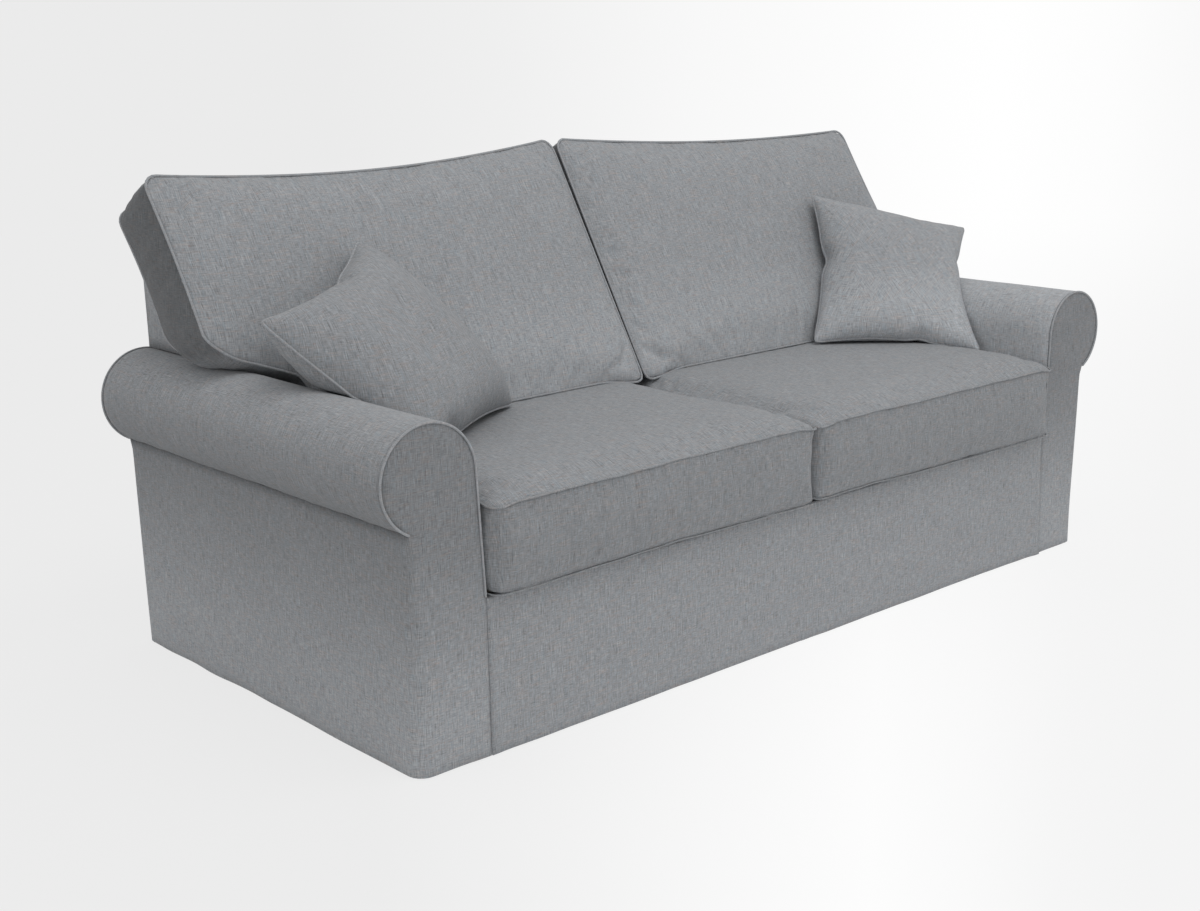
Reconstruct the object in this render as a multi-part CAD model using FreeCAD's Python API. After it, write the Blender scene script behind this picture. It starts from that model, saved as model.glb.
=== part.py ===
import FreeCAD, Part
import math
import os

from FreeCAD import Vector

# Sofa bed with loose cover, rolled arms and a three section folding bed.
# Millimetres. X to the sofa's left-hand side seen from the seat, front faces -Y, floor at Z = 0.

# Overall sofa
overall_depth = 1025.0
cushion_overhang = 30.0
arm_depth = 995.0
hem_height = 6.0
base_height = 40.0
cloth = 3.0
through = 1.0

# Rolled arms
arm_outer = 1000.0
arm_width = 157.0
roll_inset = 46.0
roll_centre_z = 531.0
roll_radius = 99.0
tuck_height = 300.0
padding = 10.0
board = 22.0
bearer_depth = 24.0

# Front rail and the cover over it
rail_thickness = 24.0
front_rail_top = 284.0
rear_rail_top = 120.0

# Back
back_lean = math.radians(30.3)
back_rest_z = 484.0
back_cushion_depth = 157.0
back_top = 850.0
back_top_depth = 120.0
back_bottom = 440.0
back_foot_rise = 26.0
back_side_margin = 60.0
back_air = 2.0
post_width = 38.0
top_rail_height = 60.0
lower_rail_depth = 40.0
lower_rail_height = 60.0
webbing_thickness = 2.0
webbing_band = 50.0
webbing_hold = 28.0
webbing_columns = 8
webbing_rows = 3

# Bed sections
bed_base = 50.0
frame_height = 22.0
rail_width = 14.0
pad_thickness = 60.0
pad_gap = 1.0
frame_gap = 2.0
head_length = 700.0
middle_length = 505.0
front_room = 120.0
foot_room = 20.0
side_room = 43.0
plate_gap = 1.0
pad_margin = 50.0
pad_radius = 14.0
foot_pad_setback = 16.0
end_gap = 4.0
deck_thickness = 2.0
deck_margin = 30.0
deck_drop = 1.0
spring_width = 2.4
springs_per_side = 5

# Hinges between the sections
ear_thickness = 4.0
ear_reach = 56.0
front_ear_radius = 14.0
rear_lug_radius = 12.0
lug_reach = 60.0
lug_spacer = 18.0
pin_radius = 5.0
pin_clearance = 0.05
pin_head_radius = 8.0
pin_head = 2.5

# Lift links
link_length = 213.9
link_rest_angle = -15.0
link_width = 30.0
link_thickness = 5.0
link_side_gap = 18.0
front_link_place = 300.0
rear_link_place = 640.0
stud_radius = 6.0
stud_head_radius = 10.0
stud_head = 3.0
stud_play = 1.0
bracket_thickness = 4.0
bracket_height = 84.0
bracket_margin = 46.0
bolt_edge = 15.0
bolts_per_side = 3
bolt_radius = 4.0
bolt_head_radius = 7.0
bolt_head = 3.5

# Folding legs
leg_radius = 8.5
leg_lift = 9.2
leg_inset = 30.0
leg_floor_gap = 1.0
leg_bar_place = 235.0
leg_bar_radius = 7.0
leg_side_gap = 19.0
leg_step = 25.0
leg_cap_length = 18.0
leg_cap_wall = 2.0
handle_half = 70.0
handle_radius = 5.0
handle_height = 46.0

# Feet of the sofa
foot_half = 26.0
foot_taper = 5.0
glide_inset = 60.0

# Steel corner plates on the front rail
plate_length = 70.0
plate_thickness = 2.5
plate_margin = 3.0

# Seat cushions
seat_front_seam = 466.0
seat_crown = 500.0
seat_crown_reach = 170.0
seat_sole = 14.0
seat_sole_reach = 26.0
seat_rear_gap = 26.0
seat_side_gap = 5.0
seat_middle_gap = 1.5
seat_corner = 22.0
seat_draw = 6.0
core_inset = 16.0
fit_gap = 0.5

# Back cushions
back_top_corner = 1001.0
back_top_dip = 28.0
back_overhang = 17.0
back_inner = 14.0
back_bottom_inner = 4.0
back_crown = 26.0
back_crown_reach = 130.0
back_side_draw = 5.0
back_taper = 16.0
wing_clear = 14.0
wing_round = 52.0
wing_foot_in = 18.0
wing_bend = 28.0
crown_steps = 3
sole_steps = 2
soft_gap = 0.4

# Scatter cushions
scatter_half = 214.0
scatter_draw = 26.0
scatter_half_thickness = 66.0
pillow_steps = 4
pillow_side_steps = 4
pillow_flat = 0.62
scatter_clear = 0.5
left_scatter_in = 110.0
left_scatter_fore = 64.0
left_scatter_up = 155.0
left_scatter_right = Vector(0.75, 0.50, 0.112)
left_scatter_normal = Vector(0.347, -0.667, 0.658)
right_scatter_in = 50.0
right_scatter_fore = 54.0
right_scatter_up = 145.0
right_scatter_right = Vector(0.63, -0.50, -0.114)
right_scatter_normal = Vector(-0.367, -0.62, 0.693)

# Places worked out from the sizes above
arm_inner = arm_outer - arm_width
frame_inset = cloth + webbing_thickness
roll_centre_x = arm_outer - roll_inset
seat_nose_y = -overall_depth / 2
arm_front_y = seat_nose_y + cushion_overhang
arm_rear_y = arm_front_y + arm_depth
back_slope = math.tan(back_lean)
back_layer = (back_cushion_depth + back_air) / math.cos(back_lean)
back_rest_y = arm_rear_y - back_top_depth - (back_top - back_rest_z) * back_slope - back_layer
back_foot_y = back_rest_y + back_layer + (back_bottom + back_foot_rise - back_rest_z) * back_slope
back_half_width = arm_outer - back_side_margin
back_outer = arm_outer + back_overhang
wing_bottom = roll_centre_z + roll_radius + wing_clear
seat_rear_y = back_foot_y - seat_rear_gap
seat_outer = arm_inner - seat_side_gap
section_height = frame_height + pad_thickness
rail_inner_y = arm_front_y + cloth + rail_thickness
front_hinge_y = rail_inner_y + front_room
front_hinge_z = bed_base + section_height + pad_gap / 2
rear_hinge_y = front_hinge_y + middle_length
rear_hinge_z = front_hinge_z + pad_gap / 2 + section_height + frame_gap / 2
seat_bottom = rear_hinge_z + frame_gap / 2 + section_height + soft_gap
link_angle = math.radians(link_rest_angle)
stud_z = bed_base + frame_height / 2
pivot_z = stud_z - link_length * math.sin(link_angle)
lift_rise = link_length * (math.cos(link_angle) - math.sin(link_angle))
foot_length = middle_length + front_room - foot_room
head_half_width = arm_inner - side_room
middle_half_width = head_half_width - ear_thickness - plate_gap
foot_half_width = middle_half_width - plate_gap
pad_half_width = head_half_width - pad_margin
link_outer_x = arm_inner - link_side_gap
link_inner_x = link_outer_x - link_thickness
middle_leg_x = middle_half_width - rail_width - leg_side_gap
foot_leg_x = middle_leg_x - leg_step
bracket_x = arm_inner - bracket_thickness
half_turn = math.sqrt(0.5)
back_normal = Vector(0, math.cos(back_lean), -math.sin(back_lean))
back_up = Vector(0, math.sin(back_lean), math.cos(back_lean))
left_scatter_centre = Vector(
    left_scatter_in - arm_inner, back_rest_y - left_scatter_fore, seat_crown + left_scatter_up
)
right_scatter_centre = Vector(
    arm_inner - right_scatter_in, back_rest_y - right_scatter_fore, seat_crown + right_scatter_up
)


def box(x0, x1, y0, y1, z0, z1):
    return Part.makeBox(x1 - x0, y1 - y0, z1 - z0, Vector(x0, y0, z0))


def rod_x(x0, x1, y, z, radius):
    return Part.makeCylinder(radius, x1 - x0, Vector(x0, y, z), Vector(1, 0, 0))


def rod_z(x, y, z0, z1, radius):
    return Part.makeCylinder(radius, z1 - z0, Vector(x, y, z0), Vector(0, 0, 1))


def slab_x(x0, x1, points):
    """Outline given as (y, z) points, carried along X."""
    corners = [Vector(x0, y, z) for y, z in points]
    face = Part.Face(Part.makePolygon(corners + corners[:1]))
    return face.extrude(Vector(x1 - x0, 0, 0))


def hexagon_x(x0, x1, y, z, radius):
    turns = [math.radians(60 * step) for step in range(6)]
    return slab_x(x0, x1, [(y + radius * math.cos(t), z + radius * math.sin(t)) for t in turns])


def fused(shapes):
    shapes = list(shapes)
    whole = shapes[0]
    if len(shapes) > 1:
        whole = whole.multiFuse(shapes[1:])
    return whole.removeSplitter()


def mirrored(shape):
    return shape.mirror(Vector(0, 0, 0), Vector(1, 0, 0))


def both_sides(shape):
    return [shape, mirrored(shape)]


def group(shapes):
    return Part.makeCompound(list(shapes))


def placed(shape, y, z, turn=0.0):
    """A copy turned about the X axis through the origin, then moved to (y, z)."""
    moved = shape.copy()
    moved.Placement = FreeCAD.Placement(
        Vector(0, y, z), FreeCAD.Rotation(Vector(1, 0, 0), turn)
    ).multiply(moved.Placement)
    return moved


def arc(start, middle, end):
    return Part.Arc(start, middle, end).toShape()


def line(start, end):
    return Part.makeLine(start, end)


# Arms


def arm_outline(inset):
    """Section of the left arm, drawn in by inset all round, as a face in the XZ plane."""
    outer = arm_outer - inset
    inner = arm_inner + inset
    radius = roll_radius - inset
    neck_z = roll_centre_z - math.sqrt(radius**2 - (outer - roll_centre_x) ** 2)
    shoulder_x = roll_centre_x - radius
    side = roll_centre_x + radius
    bottom = hem_height
    points = [
        Vector(outer, 0, bottom),
        Vector(outer, 0, neck_z),
        Vector(side, 0, roll_centre_z),
        Vector(roll_centre_x, 0, roll_centre_z + radius),
        Vector(shoulder_x, 0, roll_centre_z),
        Vector(inner, 0, tuck_height),
        Vector(inner, 0, bottom),
    ]
    low = math.atan2(neck_z - roll_centre_z, outer - roll_centre_x) / 2
    low_arc = Vector(
        roll_centre_x + radius * math.cos(low), 0, roll_centre_z + radius * math.sin(low)
    )
    half = radius * half_turn
    outer_arc = Vector(roll_centre_x + half, 0, roll_centre_z + half)
    inner_arc = Vector(roll_centre_x - half, 0, roll_centre_z + half)
    edges = [
        line(points[0], points[1]),
        arc(points[1], low_arc, points[2]),
        arc(points[2], outer_arc, points[3]),
        arc(points[3], inner_arc, points[4]),
        line(points[4], points[5]),
        line(points[5], points[6]),
        line(points[6], points[0]),
    ]
    return Part.Face(Part.Wire(edges))


def arm_body(inset, y0, y1):
    face = arm_outline(inset)
    face.translate(Vector(0, y0, 0))
    return face.extrude(Vector(0, y1 - y0, 0))


def arm_cover():
    outside = arm_body(0, arm_front_y, arm_rear_y)
    inside = arm_body(cloth, arm_front_y + cloth, arm_rear_y - cloth)
    drop = box(
        arm_inner + cloth,
        arm_outer - cloth,
        arm_front_y + cloth,
        arm_rear_y - cloth,
        hem_height - cloth,
        tuck_height,
    )
    tuck = box(
        arm_inner - cloth,
        arm_inner + 2 * cloth,
        arm_front_y + cloth,
        arm_rear_y - cloth,
        hem_height - cloth,
        tuck_height,
    )
    return outside.cut(fused([inside, drop])).cut(tuck)


def arm_padding():
    """Foam wrapped over the roll and down the outside of the frame."""
    first = arm_front_y + cloth + padding
    last = arm_rear_y - cloth - padding
    outside = arm_body(cloth, first, last)
    inside = arm_body(cloth + padding, first, last)
    low = box(0, 2 * arm_outer, first, last, 0, roll_centre_z - roll_radius)
    return outside.cut(inside).cut(low)


def arm_frame():
    inset = cloth + padding
    first = arm_front_y + inset
    last = arm_rear_y - inset
    outer = arm_outer - inset
    inner = arm_inner + inset
    under = box(0, 2 * arm_outer, arm_front_y, arm_rear_y, 0, base_height)
    front_board = arm_body(inset, first, first + board)
    rear_board = arm_body(inset, last - board, last)
    sole = box(inner, outer, first, last, base_height, base_height + board)
    top = box(
        roll_centre_x - board,
        roll_centre_x + board,
        first,
        last,
        roll_centre_z + roll_radius - inset - 2 * board,
        roll_centre_z + roll_radius - inset - board / 2,
    )
    outer_rail = box(
        outer - board, outer, first, last, roll_centre_z - 5 * board, roll_centre_z - 3 * board
    )
    inner_rail = box(inner, inner + board, first, last, tuck_height, tuck_height + 3 * board)
    bearer = box(
        arm_inner,
        arm_inner + bearer_depth,
        first,
        last,
        base_height,
        tuck_height - cloth,
    )
    rails = fused([sole, top, outer_rail, inner_rail]).common(arm_body(inset, first, last))
    frame = fused([front_board, rear_board, rails, bearer])
    holes = fused(bolt_shank(y) for y in bolt_places())
    return frame.cut(under).cut(holes)


# Rails, feet and the cover's front panel


def front_rail():
    return box(
        -arm_inner,
        arm_inner,
        arm_front_y + cloth,
        rail_inner_y,
        base_height,
        front_rail_top,
    )


def rear_rail():
    return box(
        -arm_inner,
        arm_inner,
        arm_rear_y - cloth - rail_thickness,
        arm_rear_y - cloth,
        base_height,
        rear_rail_top,
    )


def front_panel_cover():
    drop = box(
        -arm_inner,
        arm_inner,
        arm_front_y,
        arm_front_y + cloth,
        hem_height,
        front_rail_top + cloth,
    )
    turn_in = box(
        -arm_inner,
        arm_inner,
        arm_front_y,
        rail_inner_y,
        front_rail_top,
        front_rail_top + cloth,
    )
    return fused([drop, turn_in])


def foot_square(x, y, z, half):
    """Level square about (x, y), as a closed wire."""
    turns = ((-1, -1), (1, -1), (1, 1), (-1, 1))
    corners = [Vector(x + right * half, y + back * half, z) for right, back in turns]
    return Part.makePolygon(corners + corners[:1])


def block_foot(x, y, half, taper):
    """Moulded square foot, narrower by taper all round where it stands."""
    sole = foot_square(x, y, 0, half - taper)
    head = foot_square(x, y, base_height, half)
    return Part.makeLoft([sole, head], True, True)


def glides():
    """Corner feet under the arms and a thin one under the middle of each rail."""
    inset = cloth + padding + glide_inset
    arm_middle = (arm_inner + arm_outer) / 2
    rows = (arm_front_y + inset, arm_rear_y - inset)
    feet = [block_foot(side * arm_middle, y, foot_half, foot_taper) for y in rows for side in (-1, 1)]
    rail_foot = rail_thickness / 2
    for y in (arm_front_y + cloth + rail_foot, arm_rear_y - cloth - rail_foot):
        feet.append(block_foot(0, y, rail_foot, 0))
    return group(feet)


def rail_corner_plates():
    """Steel plates lying on the ends of the front rail."""
    top = front_rail_top + cloth
    plate = box(
        arm_inner - plate_length,
        arm_inner - plate_margin,
        arm_front_y + plate_margin,
        rail_inner_y,
        top,
        top + plate_thickness,
    )
    return group(both_sides(plate))


# Back


def back_line(z, air):
    """Y of the leaning plane behind the back cushions at height z, set back by air."""
    foot = back_rest_y + (back_cushion_depth + air) / math.cos(back_lean)
    return foot + (z - back_rest_z) * back_slope


def back_side_points(inset, bottom, top):
    """Side view of the back: upright foot, leaning front, vertical rear."""
    air = back_air + inset
    lean_start = back_bottom + back_foot_rise
    front = [(back_line(bottom, air), bottom)]
    if bottom < lean_start:
        foot_y = back_line(lean_start, air)
        front = [(foot_y, bottom), (foot_y, lean_start)]
    rear = [(arm_rear_y - inset, top), (arm_rear_y - inset, bottom)]
    return front + [(back_line(top, air), top)] + rear


def rail_span():
    return arm_inner - cloth - post_width


def back_post():
    """Side of the back: a leaning plate between the arms, a leg and a wing over the arm."""
    inner_x = rail_span()
    outer_x = arm_inner - cloth
    wing_x = back_half_width - cloth
    rear_y = arm_rear_y - cloth
    over_arm = roll_centre_z + roll_radius + 2 * cloth
    side = slab_x(inner_x, outer_x, back_side_points(frame_inset, back_bottom, back_top))
    leg = box(inner_x, outer_x, rear_y - post_width, rear_y, rear_rail_top, back_bottom)
    wing = slab_x(outer_x, wing_x, back_side_points(frame_inset, over_arm, back_top))
    hollow = slab_x(
        outer_x,
        wing_x - board,
        back_side_points(frame_inset + board, over_arm + board, back_top - board),
    )
    return fused([side, leg, wing.cut(hollow)])


def back_front(z):
    """Y of the leaning front of the back's timber at height z."""
    return back_line(z, back_air + frame_inset)


def back_top_rail():
    points = back_side_points(frame_inset, back_top - top_rail_height, back_top)
    return slab_x(-rail_span(), rail_span(), points)


def back_lower_rail():
    top = back_bottom + lower_rail_height
    points = back_side_points(frame_inset, back_bottom, top)[:-2]
    foot_y = points[0][0]
    points += [(back_front(top) + lower_rail_depth, top), (foot_y + lower_rail_depth, back_bottom)]
    return slab_x(-rail_span(), rail_span(), points)


def back_centre_post():
    low = back_bottom + lower_rail_height
    high = back_top - top_rail_height
    points = [
        (back_front(low), low),
        (back_front(low) + lower_rail_depth, low),
        (back_front(high) + lower_rail_depth, high),
        (back_front(high), high),
    ]
    return slab_x(-post_width / 2, post_width / 2, points)


def back_webbing():
    """Crossing bands of elastic webbing in one leaning layer over the rails."""
    low = back_bottom + lower_rail_height - webbing_hold
    high = back_top - top_rail_height + webbing_hold
    rise = (high - low) / math.cos(back_lean)
    half = rail_span()
    sheet = box(-half, half, 0, webbing_thickness, 0, rise)
    column_gap = (2 * half - webbing_columns * webbing_band) / (webbing_columns - 1)
    row_gap = (rise - webbing_rows * webbing_band) / (webbing_rows + 1)
    gaps = []
    for column in range(webbing_columns - 1):
        x = -half + webbing_band + column * (webbing_band + column_gap)
        for row in range(webbing_rows + 1):
            z = row * (webbing_band + row_gap)
            gaps.append(box(x, x + column_gap, -through, webbing_thickness + through, z, z + row_gap))
    net = sheet.cut(group(gaps))
    return placed(net, back_line(low, back_air + cloth), low, -math.degrees(back_lean))


def back_cover():
    over_arm = roll_centre_z + roll_radius + cloth
    top = back_top + cloth
    bottom = back_bottom - cloth
    upper = slab_x(-back_half_width, back_half_width, back_side_points(0, over_arm, top))
    lower = slab_x(-arm_inner, arm_inner, back_side_points(0, bottom, top))
    tail = box(-arm_inner, arm_inner, arm_rear_y - cloth, arm_rear_y, hem_height, bottom)
    inner_half = back_half_width - cloth
    room = slab_x(-inner_half, inner_half, back_side_points(cloth, over_arm + cloth, back_top))
    inner_low = arm_inner - cloth
    well = slab_x(-inner_low, inner_low, back_side_points(cloth, bottom - cloth, back_top))
    return fused([upper, lower, tail]).cut(fused([room, well]))


# Brackets, links and studs


def pivot_y(place):
    """Y of the fixed pivot of the link whose stud sits at place along the head section."""
    return front_hinge_y + place - link_length * math.cos(link_angle)


def bolt_places():
    first = pivot_y(front_link_place)
    last = pivot_y(rear_link_place)
    gap = (last - first) / (bolts_per_side - 1)
    return [first + gap * step + link_width for step in range(bolts_per_side)]


def bolt_z():
    return pivot_z + bracket_height / 2 - link_width / 2


def bolt_shank(y):
    return rod_x(
        bracket_x - bolt_head,
        arm_inner + bearer_depth,
        y,
        bolt_z(),
        bolt_radius,
    )


def bracket_bolts():
    bolts = []
    for y in bolt_places():
        shank = rod_x(bracket_x, arm_inner + bearer_depth, y, bolt_z(), bolt_radius)
        head = hexagon_x(bracket_x - bolt_head, bracket_x, y, bolt_z(), bolt_head_radius)
        bolts += both_sides(fused([shank, head]))
    return group(bolts)


def side_bracket():
    """Plate along the arm with a rounded end at each fixed pivot and a raised middle for bolts."""
    first = pivot_y(front_link_place)
    last = pivot_y(rear_link_place)
    round_end = bracket_height / 2 - link_width / 4
    pieces = [rod_x(bracket_x, arm_inner, y, pivot_z, round_end) for y in (first, last)]
    top = bolt_z() + bolt_edge
    pieces.append(box(bracket_x, arm_inner, first, last + bracket_margin, pivot_z - round_end, top))
    plate = fused(pieces)
    long_slot = box(
        bracket_x - through,
        arm_inner + through,
        first + 2 * bracket_margin,
        last - bracket_margin,
        pivot_z - round_end / 2,
        pivot_z + round_end / 4,
    )
    holes = fused(bolt_shank(y) for y in bolt_places())
    return plate.cut(long_slot).cut(holes)


def bracket_studs():
    studs = []
    for place in (front_link_place, rear_link_place):
        y = pivot_y(place)
        head_x = link_inner_x - stud_play
        shank = rod_x(head_x, bracket_x, y, pivot_z, stud_radius)
        head = hexagon_x(head_x - stud_head, head_x, y, pivot_z, stud_head_radius)
        studs += both_sides(fused([shank, head]))
    return group(studs)


def lift_link(place):
    """Flat bar with rounded ends, lying from its fixed pivot back to the stud of the head section."""
    half = link_width / 2
    bar = box(link_inner_x, link_outer_x, 0, link_length, -half, half)
    ends = [rod_x(link_inner_x, link_outer_x, y, 0, half) for y in (0, link_length)]
    holes = [
        rod_x(link_inner_x - through, link_outer_x + through, y, 0, stud_radius + pin_clearance)
        for y in (0, link_length)
    ]
    link = fused([bar] + ends).cut(group(holes))
    return placed(link, pivot_y(place), pivot_z, link_rest_angle)


def head_studs():
    studs = []
    for place in (front_link_place, rear_link_place):
        y = front_hinge_y + place
        head_x = link_outer_x + stud_play
        shank = rod_x(head_half_width, head_x, y, stud_z, stud_radius)
        head = hexagon_x(head_x, head_x + stud_head, y, stud_z, stud_head_radius)
        studs += both_sides(fused([shank, head]))
    return group(studs)


# Bed sections. Each is drawn lying open with its frame's underside at Z = 0 and its hinge line at
# Y = 0. The head section runs back from there and the other two run forward.


def section_frame(half_width, y0, y1, bars=()):
    outer = box(-half_width, half_width, y0, y1, 0, frame_height)
    inner = box(
        -half_width + rail_width,
        half_width - rail_width,
        y0 + rail_width,
        y1 - rail_width,
        -through,
        frame_height + through,
    )
    ring = outer.cut(inner)
    reach = half_width - rail_width / 2
    cross = [box(-reach, reach, y, y + rail_width, 0, frame_height / 2) for y in bars]
    return fused([ring] + cross) if cross else ring


def section_deck(half_width, y0, y1):
    inset = rail_width + deck_margin
    return box(
        -half_width + inset,
        half_width - inset,
        y0 + inset,
        y1 - inset,
        frame_height - deck_drop - deck_thickness,
        frame_height - deck_drop,
    )


def section_springs(half_width, y0, y1):
    """Short tension links between the deck's edge and the side rails."""
    top = frame_height - deck_drop
    half = spring_width / 2
    start = half_width - rail_width - deck_margin
    springs = []
    run = y1 - y0 - 2 * (rail_width + deck_margin)
    for step in range(springs_per_side):
        y = y0 + rail_width + deck_margin + run * (step + 0.5) / springs_per_side
        spring = box(start, start + deck_margin, y - half, y + half, top - spring_width, top)
        springs += both_sides(spring)
    return group(springs)


def section_pad(y0, y1):
    pad = box(-pad_half_width, pad_half_width, y0, y1, frame_height, section_height)
    long_edges = [edge for edge in pad.Edges if abs(edge.tangentAt(edge.FirstParameter).y) > half_turn]
    return pad.makeFillet(pad_radius, long_edges)


def in_head(shape):
    return placed(shape, front_hinge_y, bed_base)


def in_middle(shape):
    """Turned upside down over the head section."""
    height = section_height + pad_gap / 2
    shifted = placed(shape, 0, -height)
    return placed(shifted, front_hinge_y, front_hinge_z, 180)


def in_foot(shape):
    return placed(shape, rear_hinge_y, rear_hinge_z + frame_gap / 2)


def hinge_ear(x0, y, z, radius, foot_y0, foot_y1, foot_z0, foot_z1):
    """Plate from a section's side rail to a hinge, rounded about the pin."""
    x1 = x0 + ear_thickness
    foot = box(x0, x1, foot_y0, foot_y1, foot_z0, foot_z1)
    knuckle = rod_x(x0, x1, y, z, radius)
    near = foot_y0 if abs(foot_y0 - y) < abs(foot_y1 - y) else foot_y1
    toward = 1 if near == foot_y0 else -1
    web = slab_x(
        x0,
        x1,
        [
            (y - toward * radius, z),
            (near, foot_z0),
            (near + toward * ear_reach / 2, foot_z1),
            (y + toward * radius, z),
        ],
    )
    return fused([foot, knuckle, web])


def drilled(shape, y, z, clearance):
    return shape.cut(rod_x(-2 * arm_outer, 2 * arm_outer, y, z, pin_radius + clearance))


def head_frame():
    bars = (head_length / 3, head_length * 2 / 3)
    frame = section_frame(head_half_width, end_gap, head_length, bars)
    height = section_height + pad_gap / 2
    ear = hinge_ear(
        head_half_width, 0, height, front_ear_radius, end_gap, end_gap + ear_reach, 0, frame_height
    )
    ear = drilled(ear, 0, height, 0)
    return in_head(fused([frame] + both_sides(ear)))


def middle_frame():
    frame = section_frame(middle_half_width, -middle_length + end_gap, -end_gap)
    height = section_height + pad_gap / 2
    ear = hinge_ear(
        middle_half_width, 0, height, front_ear_radius, -end_gap - ear_reach, -end_gap, 0, frame_height
    )
    ear = drilled(ear, 0, height, pin_clearance)
    lug = hinge_ear(
        middle_half_width,
        -middle_length,
        -frame_gap / 2,
        rear_lug_radius,
        -middle_length + end_gap,
        -middle_length + end_gap + lug_reach,
        0,
        frame_height,
    )
    lug = drilled(lug, -middle_length, -frame_gap / 2, pin_clearance)
    holes = rod_x(-2 * arm_outer, 2 * arm_outer, -middle_length + leg_inset, leg_lift, pin_radius)
    whole = fused([frame] + both_sides(ear) + both_sides(lug))
    return in_middle(whole.cut(holes))


def foot_frame():
    frame = section_frame(foot_half_width, -foot_length, -end_gap)
    lug_x = head_half_width
    lug = hinge_ear(
        lug_x, 0, -frame_gap / 2, rear_lug_radius, -lug_reach - lug_spacer, -end_gap, 0, frame_height
    )
    spacer = box(
        foot_half_width,
        lug_x,
        -lug_reach - lug_spacer,
        -lug_reach,
        0,
        frame_height,
    )
    lug = drilled(fused([lug, spacer]), 0, -frame_gap / 2, 0)
    holes = rod_x(-2 * arm_outer, 2 * arm_outer, -foot_length + leg_inset, leg_lift, pin_radius)
    return in_foot(fused([frame] + both_sides(lug)).cut(holes))


def hinge_pins(y, z):
    """Headed pins through the plates of two neighbouring sections, one on each side."""
    tip_x = middle_half_width + pin_clearance
    head_x = head_half_width + ear_thickness
    shank = rod_x(tip_x, head_x, y, z, pin_radius)
    head = hexagon_x(head_x, head_x + pin_head, y, z, pin_head_radius)
    return group(both_sides(fused([shank, head])))


def leg_reach():
    """From a leg's pin to its cap's sole, when it stands under the raised bed."""
    return bed_base + lift_rise + leg_lift - leg_floor_gap


def folded_legs(leg_x, pin_y):
    """Pair of legs lying inside their section, joined by a cross bar."""
    length = leg_radius + leg_reach() - leg_cap_wall
    pieces = []
    for side in (-1, 1):
        start = Vector(side * leg_x, pin_y - leg_radius, leg_lift)
        pieces.append(Part.makeCylinder(leg_radius, length, start, Vector(0, 1, 0)))
    pieces.append(rod_x(-leg_x, leg_x, pin_y + leg_bar_place, leg_lift, leg_bar_radius))
    return drilled(fused(pieces), pin_y, leg_lift, pin_clearance)


def folded_leg_caps(leg_x, pin_y):
    end = pin_y + leg_reach()
    caps = []
    for side in (-1, 1):
        start = Vector(side * leg_x, end - leg_cap_length, leg_lift)
        cap = Part.makeCylinder(leg_radius + leg_cap_wall / 4, leg_cap_length, start, Vector(0, 1, 0))
        bore = Part.makeCylinder(leg_radius, leg_cap_length - leg_cap_wall, start, Vector(0, 1, 0))
        caps.append(cap.cut(bore))
    return group(caps)


def leg_pins(leg_x, pin_y, half_width):
    pin = rod_x(leg_x - leg_radius - pin_head, half_width, pin_y, leg_lift, pin_radius)
    return group(both_sides(pin))


def middle_leg_y():
    return -middle_length + leg_inset


def foot_leg_y():
    return -foot_length + leg_inset


def pull_handle():
    """Bent rod standing on the front bar of the foot section."""
    y = -foot_length + rail_width / 2
    top = handle_height
    posts = [rod_z(x, y, frame_height, top, handle_radius) for x in (-handle_half, handle_half)]
    bar = rod_x(-handle_half - handle_radius, handle_half + handle_radius, y, top, handle_radius)
    return in_foot(fused(posts + [bar]))


# Cushions


def rounded_loop(x0, x1, y0, y1, z, corner, draw):
    """Rectangle with rounded corners whose four sides are drawn in by draw at mid length."""
    cx = (x0 + x1) / 2
    cy = (y0 + y1) / 2
    cut = corner * (1 - half_turn)

    def at(x, y):
        return Vector(x, y, z)

    edges = [
        arc(at(x0 + corner, y0), at(cx, y0 + draw), at(x1 - corner, y0)),
        arc(at(x1 - corner, y0), at(x1 - cut, y0 + cut), at(x1, y0 + corner)),
        arc(at(x1, y0 + corner), at(x1 - draw, cy), at(x1, y1 - corner)),
        arc(at(x1, y1 - corner), at(x1 - cut, y1 - cut), at(x1 - corner, y1)),
        arc(at(x1 - corner, y1), at(cx, y1 - draw), at(x0 + corner, y1)),
        arc(at(x0 + corner, y1), at(x0 + cut, y1 - cut), at(x0, y1 - corner)),
        arc(at(x0, y1 - corner), at(x0 + draw, cy), at(x0, y0 + corner)),
        arc(at(x0, y0 + corner), at(x0 + cut, y0 + cut), at(x0 + corner, y0)),
    ]
    return Part.Wire(edges)


def crown_levels(rise, reach, steps):
    """Rise over a seam and draw-in from it at even turns of a quarter ellipse."""
    turns = [math.pi / 2 * step / steps for step in range(steps + 1)]
    return [(rise * math.sin(turn), reach * (1 - math.cos(turn))) for turn in turns]


def seat_body():
    """Boxed cushion: soft underside, boxing drawn in between its corners, crowned top."""
    sole = crown_levels(seat_sole, seat_sole_reach, sole_steps)
    levels = [(seat_bottom + seat_sole - drop, inset) for drop, inset in reversed(sole)]
    crown = crown_levels(seat_crown - seat_front_seam, seat_crown_reach, crown_steps)
    levels += [(seat_front_seam + rise, inset) for rise, inset in crown]
    wires = []
    for z, inset in levels:
        wires.append(
            rounded_loop(
                seat_middle_gap + inset,
                seat_outer - inset,
                seat_nose_y + inset,
                seat_rear_y - inset / 2,
                z,
                seat_corner,
                seat_draw,
            )
        )
    return Part.makeLoft(wires, True, True)


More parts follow.
